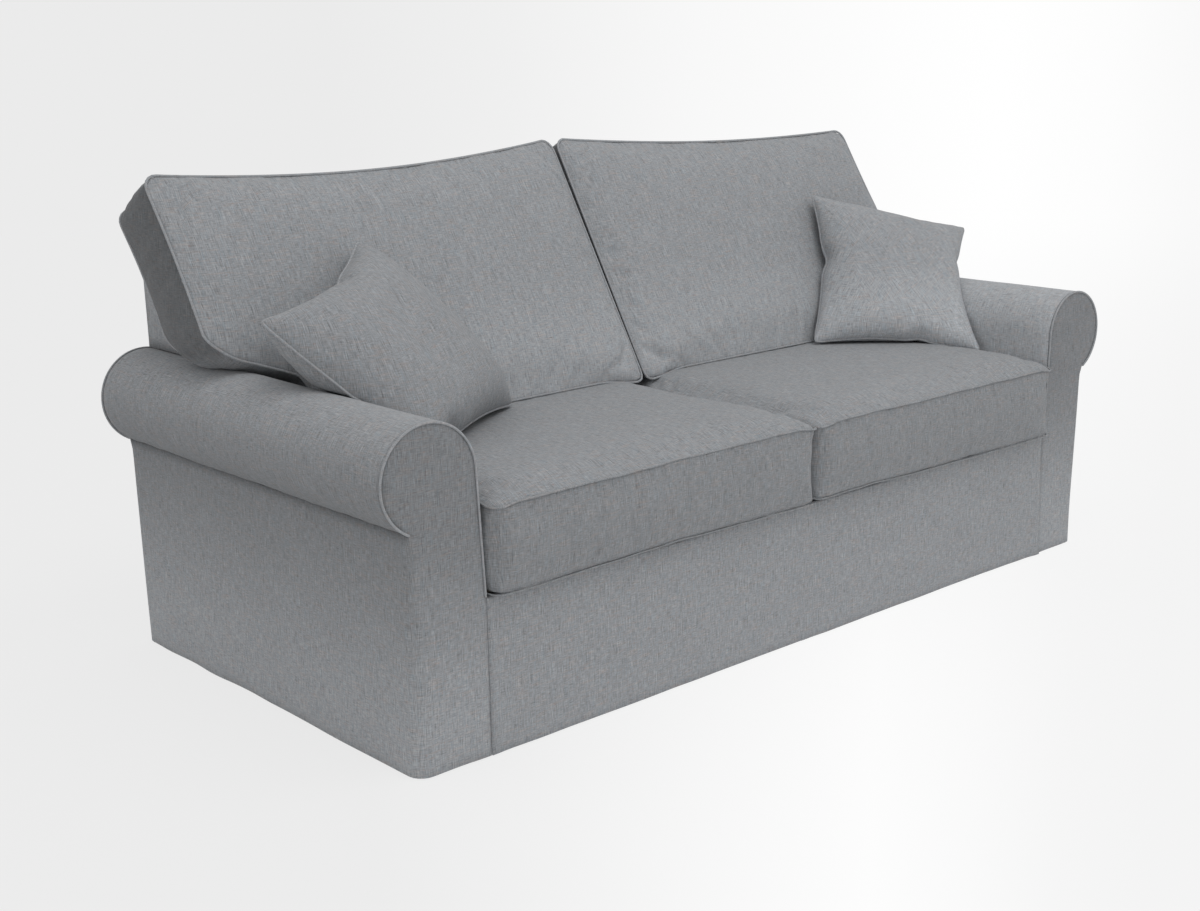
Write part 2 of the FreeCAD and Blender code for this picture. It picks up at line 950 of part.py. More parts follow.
def seat_core(grow):
    """Foam block, larger all round by grow."""
    edge = core_inset - grow
    block = box(
        seat_middle_gap + edge + seat_draw,
        seat_outer - edge - seat_draw,
        seat_nose_y + edge + seat_draw,
        seat_rear_y - edge - seat_draw,
        seat_bottom + edge,
        seat_front_seam + grow,
    )
    upright = [side for side in block.Edges if abs(side.tangentAt(side.FirstParameter).z) > half_turn]
    return block.makeChamfer(seat_corner / 2, upright)


def leaning(x, z, depth):
    """Point at x, at height z on the front plane of the back cushions, then depth behind it."""
    along = (z - back_rest_z) / math.cos(back_lean)
    return (
        Vector(x, back_rest_y, back_rest_z)
        + back_up * along
        + back_normal * depth
    )


def bowed(start, end, way, draw):
    """Edge drawn in by draw at its middle along way, or straight with no draw."""
    if not draw:
        return line(start, end)
    return arc(start, (start + end) / 2 + way * draw, end)


def back_loop(depth, inset, bow):
    """Four sided outline of the right back cushion, parallel to its front plane."""
    top = back_top_corner - inset
    low = back_rest_z - 2 * back_cushion_depth * math.sin(back_lean) + inset
    head_inner = leaning(back_inner + inset, top, depth)
    head_outer = leaning(back_outer - inset, top, depth)
    foot_outer = leaning(back_outer - back_taper - inset, low, depth)
    foot_inner = leaning(back_bottom_inner + inset, low, depth)
    dip = back_top_dip / math.cos(back_lean)
    edges = [
        bowed(head_inner, head_outer, back_up, -dip * bow),
        bowed(head_outer, foot_outer, Vector(-1, 0, 0), back_side_draw * bow),
        line(foot_outer, foot_inner),
        line(foot_inner, head_inner),
    ]
    return Part.Wire(edges)


def under_wing(inset):
    """Space under the wing that a back cushion leaves for the arm, drawn in by inset."""

    def at(x, rise):
        return Vector(x - inset, -arm_depth, wing_bottom + rise + inset)

    foot_x = arm_inner - wing_foot_in
    bend = at(foot_x, -wing_bend)
    level = at(foot_x + wing_bend, 0)
    turn = at(back_outer - wing_round, 0)
    turn_middle = at(back_outer - wing_round * (1 - half_turn), wing_round * (1 - half_turn))
    side = at(back_outer, wing_round)
    far = at(2 * arm_outer, wing_round)
    low_far = Vector(far.x, far.y, 0)
    low_foot = Vector(bend.x, bend.y, 0)
    corners = [side, far, low_far, low_foot, bend]
    edges = [line(bend, level), line(level, turn), arc(turn, turn_middle, side)]
    edges += [line(a, b) for a, b in zip(corners, corners[1:])]
    return Part.Face(Part.Wire(edges)).extrude(Vector(0, 2 * arm_depth, 0))


def back_trimmed(body, inset):
    """Cut level where it sits on the seat, and clear of the arm."""
    floor_z = seat_crown + soft_gap + inset
    floor = box(-2 * arm_outer, 2 * arm_outer, -arm_depth, arm_depth, 0, floor_z)
    return body.cut(fused([floor, under_wing(inset)]))


def back_body():
    """Cushion with a crowned front and rear and straight boxing between its seams."""
    depth = back_cushion_depth
    crown = crown_levels(back_crown, back_crown_reach, crown_steps)
    levels = [(depth - back_crown + rise, inset) for rise, inset in reversed(crown)]
    levels += [(-rise, inset) for rise, inset in crown]
    body = Part.makeLoft([back_loop(w, inset, 1) for w, inset in levels], True, True)
    return back_trimmed(body, 0)


def back_core(grow):
    """Filling of the back cushion with flat sides, larger all round by grow."""
    edge = core_inset - grow
    inset = edge + back_side_draw + back_top_dip
    depths = (back_cushion_depth - back_crown - edge, edge)
    body = Part.makeLoft([back_loop(w, inset, 0) for w in depths], True, True)
    return back_trimmed(body, edge)


def pillow_outline(half, draw):
    """Corners of a square with sides drawn in by draw, each side in short straight lengths."""
    corners = [Vector(x * half, y * half, 0) for x, y in ((-1, -1), (1, -1), (1, 1), (-1, 1))]
    points = []
    for start, end in zip(corners, corners[1:] + corners[:1]):
        inward = Vector(0, 0, 1).cross(end - start).normalize()
        for step in range(pillow_side_steps):
            share = step / pillow_side_steps
            points.append(start + (end - start) * share + inward * draw * math.sin(math.pi * share))
    return points


def pillow(half, thickness, draw):
    """Knife edged cushion of flat facets: pointed at the corners and full in the middle."""
    outline = pillow_outline(half, draw)
    levels = []
    for step in range(-pillow_steps, pillow_steps + 1):
        share = step / pillow_steps
        reach = 1 - pillow_flat * share**2
        height = thickness * math.sin(share * math.pi / 2)
        levels.append([Vector(point.x * reach, point.y * reach, height) for point in outline])
    panels = [levels[0], levels[-1]]
    for low, high in zip(levels, levels[1:]):
        for place in range(len(outline)):
            after = (place + 1) % len(outline)
            panels.append([low[place], low[after], high[after], high[place]])
    faces = [Part.Face(Part.makePolygon(panel + panel[:1])) for panel in panels]
    return Part.Solid(Part.Shell(faces))


def scatter_frame(shape, centre, right, normal):
    z_axis = Vector(normal).normalize()
    x_axis = (Vector(right) - z_axis * Vector(right).dot(z_axis)).normalize()
    y_axis = z_axis.cross(x_axis)
    turn = FreeCAD.Rotation(x_axis, y_axis, z_axis, "ZXY")
    moved = shape.copy()
    moved.Placement = FreeCAD.Placement(centre, turn)
    return moved


def scatter_stops(gap):
    """What a scatter cushion rests on: seat, back cushions and arms, each with a little room."""
    seat = box(-arm_outer, arm_outer, -arm_depth, arm_depth, 0, seat_crown + gap)
    reach = 2 * arm_outer
    corner_front = leaning(-reach, 0, -back_crown - gap)
    corner_top = leaning(-reach, 2 * back_top, -back_crown - gap)
    rear = slab_x(
        -reach,
        reach,
        [
            (corner_front.y, corner_front.z),
            (corner_top.y, corner_top.z),
            (4 * arm_depth, corner_top.z),
            (4 * arm_depth, corner_front.z),
        ],
    )
    roll = Part.makeCylinder(
        roll_radius + gap,
        2 * arm_depth,
        Vector(roll_centre_x, -arm_depth, roll_centre_z),
        Vector(0, 1, 0),
    )
    side = box(
        arm_inner - gap,
        2 * arm_outer,
        -arm_depth,
        arm_depth,
        0,
        roll_centre_z,
    )
    return [seat, rear] + both_sides(roll) + both_sides(side)


def scatter(half, thickness, draw, gap, centre, right, normal):
    body = scatter_frame(pillow(half, thickness, draw), centre, right, normal)
    for stop in scatter_stops(gap):
        body = body.cut(stop)
    return body


def scatter_cover(centre, right, normal):
    return scatter(
        scatter_half, scatter_half_thickness, scatter_draw, scatter_clear, centre, right, normal
    )


def scatter_pad(centre, right, normal):
    return scatter(
        scatter_half - core_inset - scatter_draw,
        scatter_half_thickness - core_inset,
        0,
        scatter_clear + core_inset,
        centre,
        right,
        normal,
    )


def left_and_right(name, shape):
    """Both hands of a piece drawn on the sofa's +X side."""
    return {name + "_right": shape, name + "_left": mirrored(shape)}


def all_parts():
    parts = {}
    parts.update(left_and_right("arm_frame", arm_frame()))
    parts.update(left_and_right("arm_padding", arm_padding()))
    parts.update(left_and_right("arm_cover", arm_cover()))
    parts["front_rail"] = front_rail()
    parts["rear_rail"] = rear_rail()
    parts["front_panel_cover"] = front_panel_cover()
    parts["glides"] = glides()
    parts["rail_corner_plates"] = rail_corner_plates()
    parts.update(left_and_right("back_post", back_post()))
    parts["back_top_rail"] = back_top_rail()
    parts["back_lower_rail"] = back_lower_rail()
    parts["back_centre_post"] = back_centre_post()
    parts["back_webbing"] = back_webbing()
    parts["back_cover"] = back_cover()
    parts.update(left_and_right("side_bracket", side_bracket()))
    parts["bracket_bolts"] = bracket_bolts()
    parts["bracket_studs"] = bracket_studs()
    parts.update(left_and_right("front_link", lift_link(front_link_place)))
    parts.update(left_and_right("rear_link", lift_link(rear_link_place)))
    parts["head_frame"] = head_frame()
    parts["head_studs"] = head_studs()
    parts["front_hinge_pins"] = hinge_pins(front_hinge_y, front_hinge_z)
    parts["head_deck"] = in_head(section_deck(head_half_width, end_gap, head_length))
    parts["head_springs"] = in_head(section_springs(head_half_width, end_gap, head_length))
    parts["head_pad"] = in_head(section_pad(pad_gap / 2, head_length))
    parts["middle_frame"] = middle_frame()
    parts["middle_deck"] = in_middle(
        section_deck(middle_half_width, -middle_length + end_gap, -end_gap)
    )
    parts["middle_springs"] = in_middle(
        section_springs(middle_half_width, -middle_length + end_gap, -end_gap)
    )
    parts["middle_pad"] = in_middle(section_pad(-middle_length + pad_gap / 2, -pad_gap / 2))
    parts["middle_leg_pins"] = in_middle(leg_pins(middle_leg_x, middle_leg_y(), middle_half_width))
    parts["rear_hinge_pins"] = hinge_pins(rear_hinge_y, rear_hinge_z)
    parts["foot_frame"] = foot_frame()
    parts["foot_deck"] = in_foot(section_deck(foot_half_width, -foot_length, -end_gap))
    parts["foot_springs"] = in_foot(section_springs(foot_half_width, -foot_length, -end_gap))
    parts["foot_pad"] = in_foot(section_pad(-foot_length + foot_pad_setback, -pad_gap / 2))
    parts["foot_leg_pins"] = in_foot(leg_pins(foot_leg_x, foot_leg_y(), foot_half_width))
    parts["pull_handle"] = pull_handle()
    parts["middle_legs"] = in_middle(folded_legs(middle_leg_x, middle_leg_y()))
    parts["middle_leg_caps"] = in_middle(folded_leg_caps(middle_leg_x, middle_leg_y()))
    parts["foot_legs"] = in_foot(folded_legs(foot_leg_x, foot_leg_y()))
    parts["foot_leg_caps"] = in_foot(folded_leg_caps(foot_leg_x, foot_leg_y()))

    parts.update(left_and_right("seat_core", seat_core(0)))
    parts.update(left_and_right("seat_cushion", seat_body().cut(seat_core(fit_gap))))
    parts.update(left_and_right("back_filling", back_core(0)))
    parts.update(left_and_right("back_cushion", back_body().cut(back_core(fit_gap))))
    left = (left_scatter_centre, left_scatter_right, left_scatter_normal)
    right = (right_scatter_centre, right_scatter_right, right_scatter_normal)
    for name, place in (("left", left), ("right", right)):
        pad = scatter_pad(*place)
        parts["scatter_pad_" + name] = pad
        parts["scatter_cushion_" + name] = scatter_cover(*place).cut(pad)
    return parts


def main():
    os.makedirs("parts", exist_ok=True)
    for name, shape in all_parts().items():
        shape.exportStep(os.path.join("parts", name + ".step"))
        print(name, len(shape.Solids), round(shape.Volume / 1e6, 3), shape.isValid())


main()
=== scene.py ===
import math

import bmesh
import bpy
from mathutils import Matrix, Vector, noise
from mathutils.kdtree import KDTree


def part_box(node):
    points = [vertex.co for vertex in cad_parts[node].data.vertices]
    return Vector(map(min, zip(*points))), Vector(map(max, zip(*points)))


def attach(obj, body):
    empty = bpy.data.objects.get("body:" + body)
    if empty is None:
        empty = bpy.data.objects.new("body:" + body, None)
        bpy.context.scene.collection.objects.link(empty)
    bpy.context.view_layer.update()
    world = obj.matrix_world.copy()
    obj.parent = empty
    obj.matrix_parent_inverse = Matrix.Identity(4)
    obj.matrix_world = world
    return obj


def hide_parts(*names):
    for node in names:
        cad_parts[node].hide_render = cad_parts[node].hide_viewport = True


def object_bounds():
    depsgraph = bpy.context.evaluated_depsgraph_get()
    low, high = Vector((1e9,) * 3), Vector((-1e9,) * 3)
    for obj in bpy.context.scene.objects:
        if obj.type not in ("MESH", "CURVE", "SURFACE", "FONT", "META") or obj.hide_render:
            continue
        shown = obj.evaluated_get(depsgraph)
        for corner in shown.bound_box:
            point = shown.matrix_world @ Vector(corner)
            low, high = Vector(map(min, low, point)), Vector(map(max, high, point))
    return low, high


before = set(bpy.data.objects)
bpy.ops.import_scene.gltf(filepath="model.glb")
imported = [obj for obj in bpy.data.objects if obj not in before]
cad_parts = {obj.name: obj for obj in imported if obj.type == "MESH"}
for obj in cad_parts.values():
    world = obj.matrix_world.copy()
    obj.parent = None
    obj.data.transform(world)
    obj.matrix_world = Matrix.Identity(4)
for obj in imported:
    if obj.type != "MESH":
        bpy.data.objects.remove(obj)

cadLow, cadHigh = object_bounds()
scene = bpy.context.scene


# shader nodes


def addNode(tree, kind, inputs=None, **settings):  # each input takes a value, or the socket that feeds it
    node = tree.nodes.new("ShaderNode" + kind)
    for label, value in settings.items():
        setattr(node, label, value)
    for key, value in (inputs or {}).items():
        if isinstance(value, bpy.types.NodeSocket):
            tree.links.new(value, node.inputs[key])
        else:
            node.inputs[key].default_value = value
    return node


def mathNode(tree, operation, *values, clamp=False):
    return addNode(tree, "Math", dict(enumerate(values)), operation=operation, use_clamp=clamp).outputs[0]


def vectorMath(tree, operation, *values):
    node = addNode(tree, "VectorMath", dict(enumerate(values)), operation=operation)
    return node.outputs["Value" if operation == "LENGTH" else "Vector"]


def scaledBy(tree, vector, scale):
    return addNode(tree, "VectorMath", {0: vector, "Scale": scale}, operation="SCALE").outputs[0]


def partsOf(tree, vector):
    return addNode(tree, "SeparateXYZ", {0: vector}).outputs


def ranged(tree, value, low, high, atLow=0.0, atHigh=1.0, ease="SMOOTHSTEP"):
    ends = {"Value": value, "From Min": low, "From Max": high, "To Min": atLow, "To Max": atHigh}
    return addNode(tree, "MapRange", ends, interpolation_type=ease).outputs[0]


def mixValue(tree, factor, a, b, kind="FLOAT"):
    return addNode(tree, "Mix", {"Factor": factor, "A": a, "B": b}, data_type=kind).outputs["Result"]


def mixColour(tree, factor, *colours):
    a, b = ((*colour, 1) if isinstance(colour, tuple) else colour for colour in colours)
    return mixValue(tree, factor, a, b, "RGBA")


def mixShader(tree, factor, a, b):
    return addNode(tree, "MixShader", {0: factor, 1: a, 2: b}).outputs[0]


def noiseNode(tree, vector, scale=1.0, detail=2.0, rough=0.5, space="2D"):
    values = {"Vector": vector, "Scale": scale, "Detail": detail, "Roughness": rough}
    return addNode(tree, "TexNoise", values, noise_dimensions=space).outputs[0]


def newMaterial(name):
    made = bpy.data.materials.new(name)
    made.use_nodes = True
    made.node_tree.nodes.clear()
    return made, made.node_tree


def newGroup(name, inputs, outputs):  # inputs with their first values, outputs with their kinds
    group = bpy.data.node_groups.new(name, "ShaderNodeTree")
    for label, value in inputs.items():
        socket = group.interface.new_socket(label, in_out="INPUT", socket_type="NodeSocketFloat")
        socket.default_value = value
    for label, kind in outputs.items():
        group.interface.new_socket(label, in_out="OUTPUT", socket_type="NodeSocket" + kind)
    return group, group.nodes.new("NodeGroupInput").outputs, group.nodes.new("NodeGroupOutput").inputs


def linked(name, data):
    made = bpy.data.objects.new(name, data)
    scene.collection.objects.link(made)
    return made


# camera and studio

cameraSet = {
    "place": (-2.52276, -2.67495, 1.24401),
    "yaw": 41.662,  # degrees from straight on, turned to the right
    "down": 14.153,
    "roll": -1.042,
    "lens": 50.11,
}

studioSet = {
    "floorSize": 400,
    "ground": (-2.52276, -2.67495),  # the point of the floor that the backdrop's tones turn about
    "turnFrom": 21.9,  # degrees from straight on, at the left edge of the picture
    "turnTo": 61.4,
    "farTones": (
        (0.0, 0.831), (0.28, 0.831), (0.43, 0.868), (0.59, 0.94),
        (0.75, 0.985), (0.84, 1.0), (0.93, 0.98), (1.0, 0.945),
    ),
    "nearTones": (
        (0.0, 0.831), (0.28, 0.831), (0.43, 0.868), (0.59, 0.92),
        (0.75, 0.965), (0.84, 0.94), (0.92, 0.905), (1.0, 0.89),
    ),
    "near": 2.5,
    "far": 12.0,
    "glow": 0.88,  # share of the floor's tone that takes no shadow
    "lit": 0.79,  # what the lamp and the sky make of a white floor
    "sky": 0.73,
    "lampPlace": (0, -2.0, 4.5),
    "lampAim": (0, -0.1, 0.5),
    "lampSize": (3.3, 2.0),
    "lampPower": 56,
    "footprint": (1.0, 0.5),  # half sizes, about which the floor throws back more light
    "bounce": 0.2,
    "bounceNear": 0.1,
    "bounceFar": 0.65,
}


def makeCamera():
    yaw, down, roll = (math.radians(cameraSet[key]) for key in ("yaw", "down", "roll"))
    forward = Vector((math.sin(yaw) * math.cos(down), math.cos(yaw) * math.cos(down), -math.sin(down)))
    level = Vector((math.cos(yaw), -math.sin(yaw), 0))
    above = level.cross(forward)
    right = level * math.cos(roll) + above * math.sin(roll)
    up = above * math.cos(roll) - level * math.sin(roll)
    data = bpy.data.cameras.new("camera")
    data.lens = cameraSet["lens"]
    data.sensor_width = 36
    data.clip_start, data.clip_end = 0.05, 500
    camera = linked("camera", data)
    turn = Matrix((right, up, -forward)).transposed()
    camera.matrix_world = Matrix.Translation(cameraSet["place"]) @ turn.to_4x4()
    scene.camera = camera


def toneRamp(tree, tones, turn):
    ramp = addNode(tree, "ValToRGB", {0: turn})
    stops = ramp.color_ramp.elements
    while len(stops) < len(tones):
        stops.new(1.0)
    for stop, (place, tone) in zip(stops, tones):
        stop.position = place
        stop.color = (tone, tone, tone, 1)
    return ramp.outputs[0]


def turnAbout(tree, vector):  # how far round from turnFrom to turnTo a direction lies, 0 to 1
    parts = partsOf(tree, vector)
    turn = mathNode(tree, "ARCTAN2", parts["X"], parts["Y"])
    first, last = (math.radians(studioSet[key]) for key in ("turnFrom", "turnTo"))
    return ranged(tree, turn, first, last, ease="LINEAR")


def makeFloor():
    bpy.ops.mesh.primitive_plane_add(size=studioSet["floorSize"])
    floor = bpy.context.object
    floor.name = "studioFloor"
    made, tree = newMaterial("studioFloor")
    place = addNode(tree, "TexCoord").outputs["Object"]
    offset = vectorMath(tree, "SUBTRACT", place, (*studioSet["ground"], 0))
    distance = ranged(tree, vectorMath(tree, "LENGTH", offset), studioSet["near"], studioSet["far"])
    turn = turnAbout(tree, offset)
    nearTone, farTone = (toneRamp(tree, studioSet[key], turn) for key in ("nearTones", "farTones"))
    tone = mixColour(tree, distance, nearTone, farTone)
    seen = addNode(tree, "LightPath").outputs["Is Camera Ray"]
    values = {"Base Color": tone, "Roughness": 0.9, "Specular IOR Level": 0.0}
    surface = addNode(tree, "BsdfPrincipled", values).outputs[0]
    share = studioSet["glow"]
    strength = (1 - (1 - share) * studioSet["lit"]) / share
    glow = addNode(tree, "Emission", {"Color": tone, "Strength": strength}).outputs[0]
    distant = addNode(tree, "Emission", {"Color": tone}).outputs[0]
    near = mixShader(tree, mathNode(tree, "MULTIPLY", seen, share), surface, glow)
    whole = mixShader(tree, mathNode(tree, "MULTIPLY", seen, distance), near, distant)
    beyond = vectorMath(tree, "SUBTRACT", vectorMath(tree, "ABSOLUTE", place), (*studioSet["footprint"], 0))
    reach = vectorMath(tree, "LENGTH", vectorMath(tree, "MAXIMUM", beyond, (0, 0, 0)))
    lightFade = ranged(tree, reach, studioSet["bounceNear"], studioSet["bounceFar"], studioSet["bounce"], 0)
    extra = mathNode(tree, "MULTIPLY", lightFade, mathNode(tree, "SUBTRACT", 1, seen))
    bounce = addNode(tree, "Emission", {"Strength": extra}).outputs[0]
    both = addNode(tree, "AddShader", {0: whole, 1: bounce}).outputs[0]
    addNode(tree, "OutputMaterial", {"Surface": both})
    floor.data.materials.append(made)


def makeLights():
    world = bpy.data.worlds.new("studio")
    scene.world = world
    world.use_nodes = True
    tree = world.node_tree
    tree.nodes.clear()
    way = addNode(tree, "TexCoord").outputs["Generated"]
    backdrop = toneRamp(tree, studioSet["farTones"], turnAbout(tree, way))
    seen = addNode(tree, "Background", {"Color": backdrop, "Strength": 1}).outputs[0]
    light = addNode(tree, "Background", {"Color": (1, 1, 1, 1), "Strength": studioSet["sky"]}).outputs[0]
    pick = mixShader(tree, addNode(tree, "LightPath").outputs["Is Camera Ray"], light, seen)
    addNode(tree, "OutputWorld", {"Surface": pick})
    data = bpy.data.lights.new("overhead", "AREA")
    data.shape = "RECTANGLE"
    data.size, data.size_y = studioSet["lampSize"]
    data.energy = studioSet["lampPower"]
    lamp = linked("overhead", data)
    lamp.location = studioSet["lampPlace"]
    toward = Vector(studioSet["lampAim"]) - lamp.location
    lamp.rotation_euler = toward.to_track_quat("-Z", "Y").to_euler()


scene.view_settings.view_transform = "Standard"
makeCamera()
makeFloor()
makeLights()
print("studio ready")


# finishes


def flatCoords():  # metres across and along a surface, taken from the side that it faces
    group, _, out = newGroup("clothRun", {}, {"Across": "Float", "Along": "Float"})
    coords = addNode(group, "TexCoord").outputs
    place = partsOf(group, coords["Object"])
    size = [mathNode(group, "ABSOLUTE", part) for part in partsOf(group, coords["Normal"])]
    level = mathNode(group, "GREATER_THAN", size[2], mathNode(group, "MAXIMUM", size[0], size[1]))
    sideways = mathNode(group, "GREATER_THAN", size[0], mathNode(group, "MAXIMUM", size[1], size[2]))
    group.links.new(mixValue(group, sideways, place[0], place[1]), out["Across"])
    group.links.new(mixValue(group, level, place[2], place[1]), out["Along"])
    return group


clothRun = flatCoords()

weaveSet = {
    "thread": (0.264, 0.2735, 0.286),
    "cool": (0.246, 0.276, 0.300),
    "warm": (0.298, 0.277, 0.270),
    "fleck": (0.30, 0.20, 0.18),
    "threads": 1150,  # per metre across a thread, then along it, and so for the rest
    "threadRun": 75,
    "slubs": 600,
    "slubRun": 24,
    "weftRun": 33.6,
    "weftShare": 0.4,
    "tints": 240,
    "tintRun": 26,
    "tintShare": 2.5,
    "flecks": 160,
    "fleckFrom": 0.36,
    "fleckShare": 0.35,
    "clouds": 9,
    "threadShade": 0.9,
    "slubShade": 3.0,
    "cloudShade": 0.07,
}


def linenGroup():
    first = {"PaintedLight": 1.0, "Contrast": 1.0, "Slub": 1.0}
    group, given, out = newGroup("linenWeave", first, {"Color": "Color", "Height": "Float"})
    w = weaveSet
    run = addNode(group, "Group", node_tree=clothRun).outputs

    def times(a, b, clamp=False):
        return mathNode(group, "MULTIPLY", a, b, clamp=clamp)

    def plus(a, b):
        return mathNode(group, "ADD", a, b)

    def cells(across, along, shift, detail):  # noise about nought, and shift keeps one off the next
        u = mathNode(group, "MULTIPLY_ADD", run["Across"], across)
        v = mathNode(group, "MULTIPLY_ADD", run["Along"], along)
        place = addNode(group, "CombineXYZ", {0: u, 1: v, 2: shift}).outputs[0]
        return plus(noiseNode(group, place, detail=detail), -0.5)

    def slub(across, along, shift):  # mostly even, with a few strong threads
        grain = cells(across, along, shift, 1)
        return times(grain, mathNode(group, "ABSOLUTE", grain))

    threads = plus(cells(w["threads"], w["threadRun"], 0, 2), cells(w["threadRun"], w["threads"], 3, 2))
    threads = times(threads, given["Contrast"])
    weftSlubs = times(slub(w["weftRun"], w["slubs"], 11), w["weftShare"])
    slubs = times(plus(slub(w["slubs"], w["slubRun"], 7), weftSlubs), given["Slub"])
    cloud = cells(w["clouds"], w["clouds"], 17, 3)
    shade = plus(times(threads, w["threadShade"]), times(slubs, w["slubShade"]))
    shade = plus(plus(shade, times(cloud, w["cloudShade"])), 1.0)
    # the piece's painted light and shade scales the whole colour
    shade = times(shade, given["PaintedLight"])
    cool = times(cells(w["tints"], w["tintRun"], 23, 1), w["tintShare"], clamp=True)
    warm = times(cells(w["tintRun"], w["tints"], 29, 1), w["tintShare"], clamp=True)
    speck = mathNode(group, "GREATER_THAN", cells(w["flecks"], w["flecks"], 31, 0), w["fleckFrom"])
    colour = mixColour(group, cool, w["thread"], w["cool"])
    colour = mixColour(group, warm, colour, w["warm"])
    colour = mixColour(group, times(speck, w["fleckShare"]), colour, w["fleck"])
    group.links.new(scaledBy(group, colour, shade), out["Color"])
    group.links.new(plus(threads, slubs), out["Height"])
    return group


def wearGroup():  # soft cloudy change and fine grit over a hard surface
    group, given, out = newGroup("surfaceWear", {"Scale": 1.0}, {"Cloud": "Float", "Grit": "Float"})
    place = scaledBy(group, addNode(group, "TexCoord").outputs["Object"], given["Scale"])
    group.links.new(noiseNode(group, place, 6, 3, space="3D"), out["Cloud"])
    group.links.new(noiseNode(group, place, 420, 2, space="3D"), out["Grit"])
    return group


linenWeave = linenGroup()
surfaceWear = wearGroup()


def coated(tree, colour, height, strength, distance, look):  # a surface with its bump, on the output
    bump = addNode(tree, "Bump", {"Height": height, "Strength": strength, "Distance": distance})
    surface = addNode(tree, "BsdfPrincipled", {"Base Color": colour, "Normal": bump.outputs[0], **look})
    addNode(tree, "OutputMaterial", {"Surface": surface.outputs[0]})


def linen(name, tone, contrast=1.0, slub=1.0, sideShade=None, lightFade=None):
    # painted light and shade: tone lightens or darkens the whole piece as light would, the side value
    # paints shade on faces turned to the left or right, and the fade is two heights and the painted tone at
    # the second
    made, tree = newMaterial(name)
    if sideShade:
        # painted shade on faces turned to the left or right
        facing = partsOf(tree, addNode(tree, "NewGeometry").outputs["Normal"])["X"]
        tone = ranged(tree, mathNode(tree, "ABSOLUTE", facing), 0.3, 0.9, tone, sideShade)
    if lightFade:
        # painted light and shade that changes with height
        height = partsOf(tree, addNode(tree, "TexCoord").outputs["Object"])["Z"]
        tone = ranged(tree, height, lightFade[0], lightFade[1], tone, lightFade[2])
    values = {"PaintedLight": tone, "Contrast": contrast, "Slub": slub}
    weave = addNode(tree, "Group", values, node_tree=linenWeave).outputs
    look = {"Roughness": 0.92, "Specular IOR Level": 0.2, "Sheen Weight": 0.08, "Sheen Roughness": 0.6}
    coated(tree, weave["Color"], weave["Height"], 0.3, 0.0004, look)
    return made


def hardFinish(name, dark, light, metal, rough, grit=0.0002, scale=1.0):
    made, tree = newMaterial(name)
    wear = addNode(tree, "Group", {"Scale": scale}, node_tree=surfaceWear).outputs
    colour = mixColour(tree, wear["Cloud"], dark, light)
    roughness = mathNode(tree, "MULTIPLY_ADD", wear["Cloud"], 0.16, rough - 0.08)
    coated(tree, colour, wear["Grit"], 0.4, grit, {"Metallic": metal, "Roughness": roughness})
    return made


def woodFinish(name, pale, deep, along=1.2, across=14):
    made, tree = newMaterial(name)
    coords = addNode(tree, "TexCoord").outputs["Object"]
    place = addNode(tree, "Mapping", {"Vector": coords, "Scale": (along, across, across)}).outputs[0]
    rings = noiseNode(tree, place, 5, 5, 0.6, "3D")
    grain = mathNode(tree, "MULTIPLY_ADD", noiseNode(tree, place, 60, 3, 0.7, "3D"), 0.35, rings)
    bands = mathNode(tree, "MULTIPLY", grain, 0.9, clamp=True)
    coated(tree, mixColour(tree, bands, pale, deep), grain, 0.3, 0.0005, {"Roughness": 0.62})
    return made


def wovenFinish(name, first, second, pitch):  # plain open weave in two tones
    made, tree = newMaterial(name)
    run = addNode(tree, "Group", node_tree=clothRun).outputs
    over, under = (
        mathNode(tree, "SINE", mathNode(tree, "MULTIPLY", run[way], 2 * math.pi / pitch))
        for way in ("Across", "Along")
    )
    mask = mathNode(tree, "MULTIPLY_ADD", mathNode(tree, "MULTIPLY", over, under), 0.5, 0.5)
    coated(tree, mixColour(tree, mask, first, second), mask, 0.4, pitch / 5, {"Roughness": 0.85})
    return made


# painted light and shade: one linen, lightened or darkened piece by piece to stand in for how light falls
# on each; the fades paint lighter or darker cloth with height, the side value paints shade on the back
# boxing's side faces, and the piping is lightened against its own shade
clothSet = {
    "arm": {"tone": 1.14, "lightFade": (0.05, 0.48, 0.77)},
    "rollLeft": {"tone": 0.66, "lightFade": (0.42, 0.64, 1.08)},
    "rollRight": {"tone": 1.58, "lightFade": (0.45, 0.62, 1.36)},
    "panel": {"tone": 1.06},
    "seat": {"tone": 1.02},
    "boxing": {"tone": 0.88},
    "back": {"tone": 1.34, "lightFade": (0.5, 0.78, 1.08)},
    "backBoxing": {"tone": 1.1, "sideShade": 0.45},
    "scatterLeft": {"tone": 0.98},
    "scatterRight": {"tone": 1.55, "lightFade": (0.5, 0.74, 1.12)},
    "piping": {"tone": 1.16, "contrast": 0.8, "slub": 0.6},
}
cloth = {name: linen("linen" + name[0].upper() + name[1:], **look) for name, look in clothSet.items()}

pine = woodFinish("planedPine", (0.66, 0.50, 0.31), (0.40, 0.26, 0.13))
blackSteel = hardFinish("blackPowderCoat", (0.022, 0.022, 0.024), (0.045, 0.045, 0.048), 0.0, 0.45, 0.00015)
zinc = hardFinish("brightZinc", (0.52, 0.52, 0.50), (0.70, 0.70, 0.69), 1.0, 0.32, 0.00005, 2)
blackPlastic = hardFinish("mouldedPlastic", (0.02, 0.02, 0.02), (0.04, 0.04, 0.04), 0.0, 0.5, 0.0001)
webbing = wovenFinish("elasticWebbing", (0.05, 0.045, 0.04), (0.22, 0.2, 0.18), 0.004)
deckCloth = wovenFinish("deckCloth", (0.03, 0.03, 0.035), (0.12, 0.12, 0.13), 0.003)
ticking = wovenFinish("mattressTicking", (0.74, 0.73, 0.70), (0.84, 0.83, 0.80), 0.0022)
foam = hardFinish("paleFoam", (0.70, 0.68, 0.58), (0.82, 0.80, 0.72), 0.0, 0.9, 0.0006)

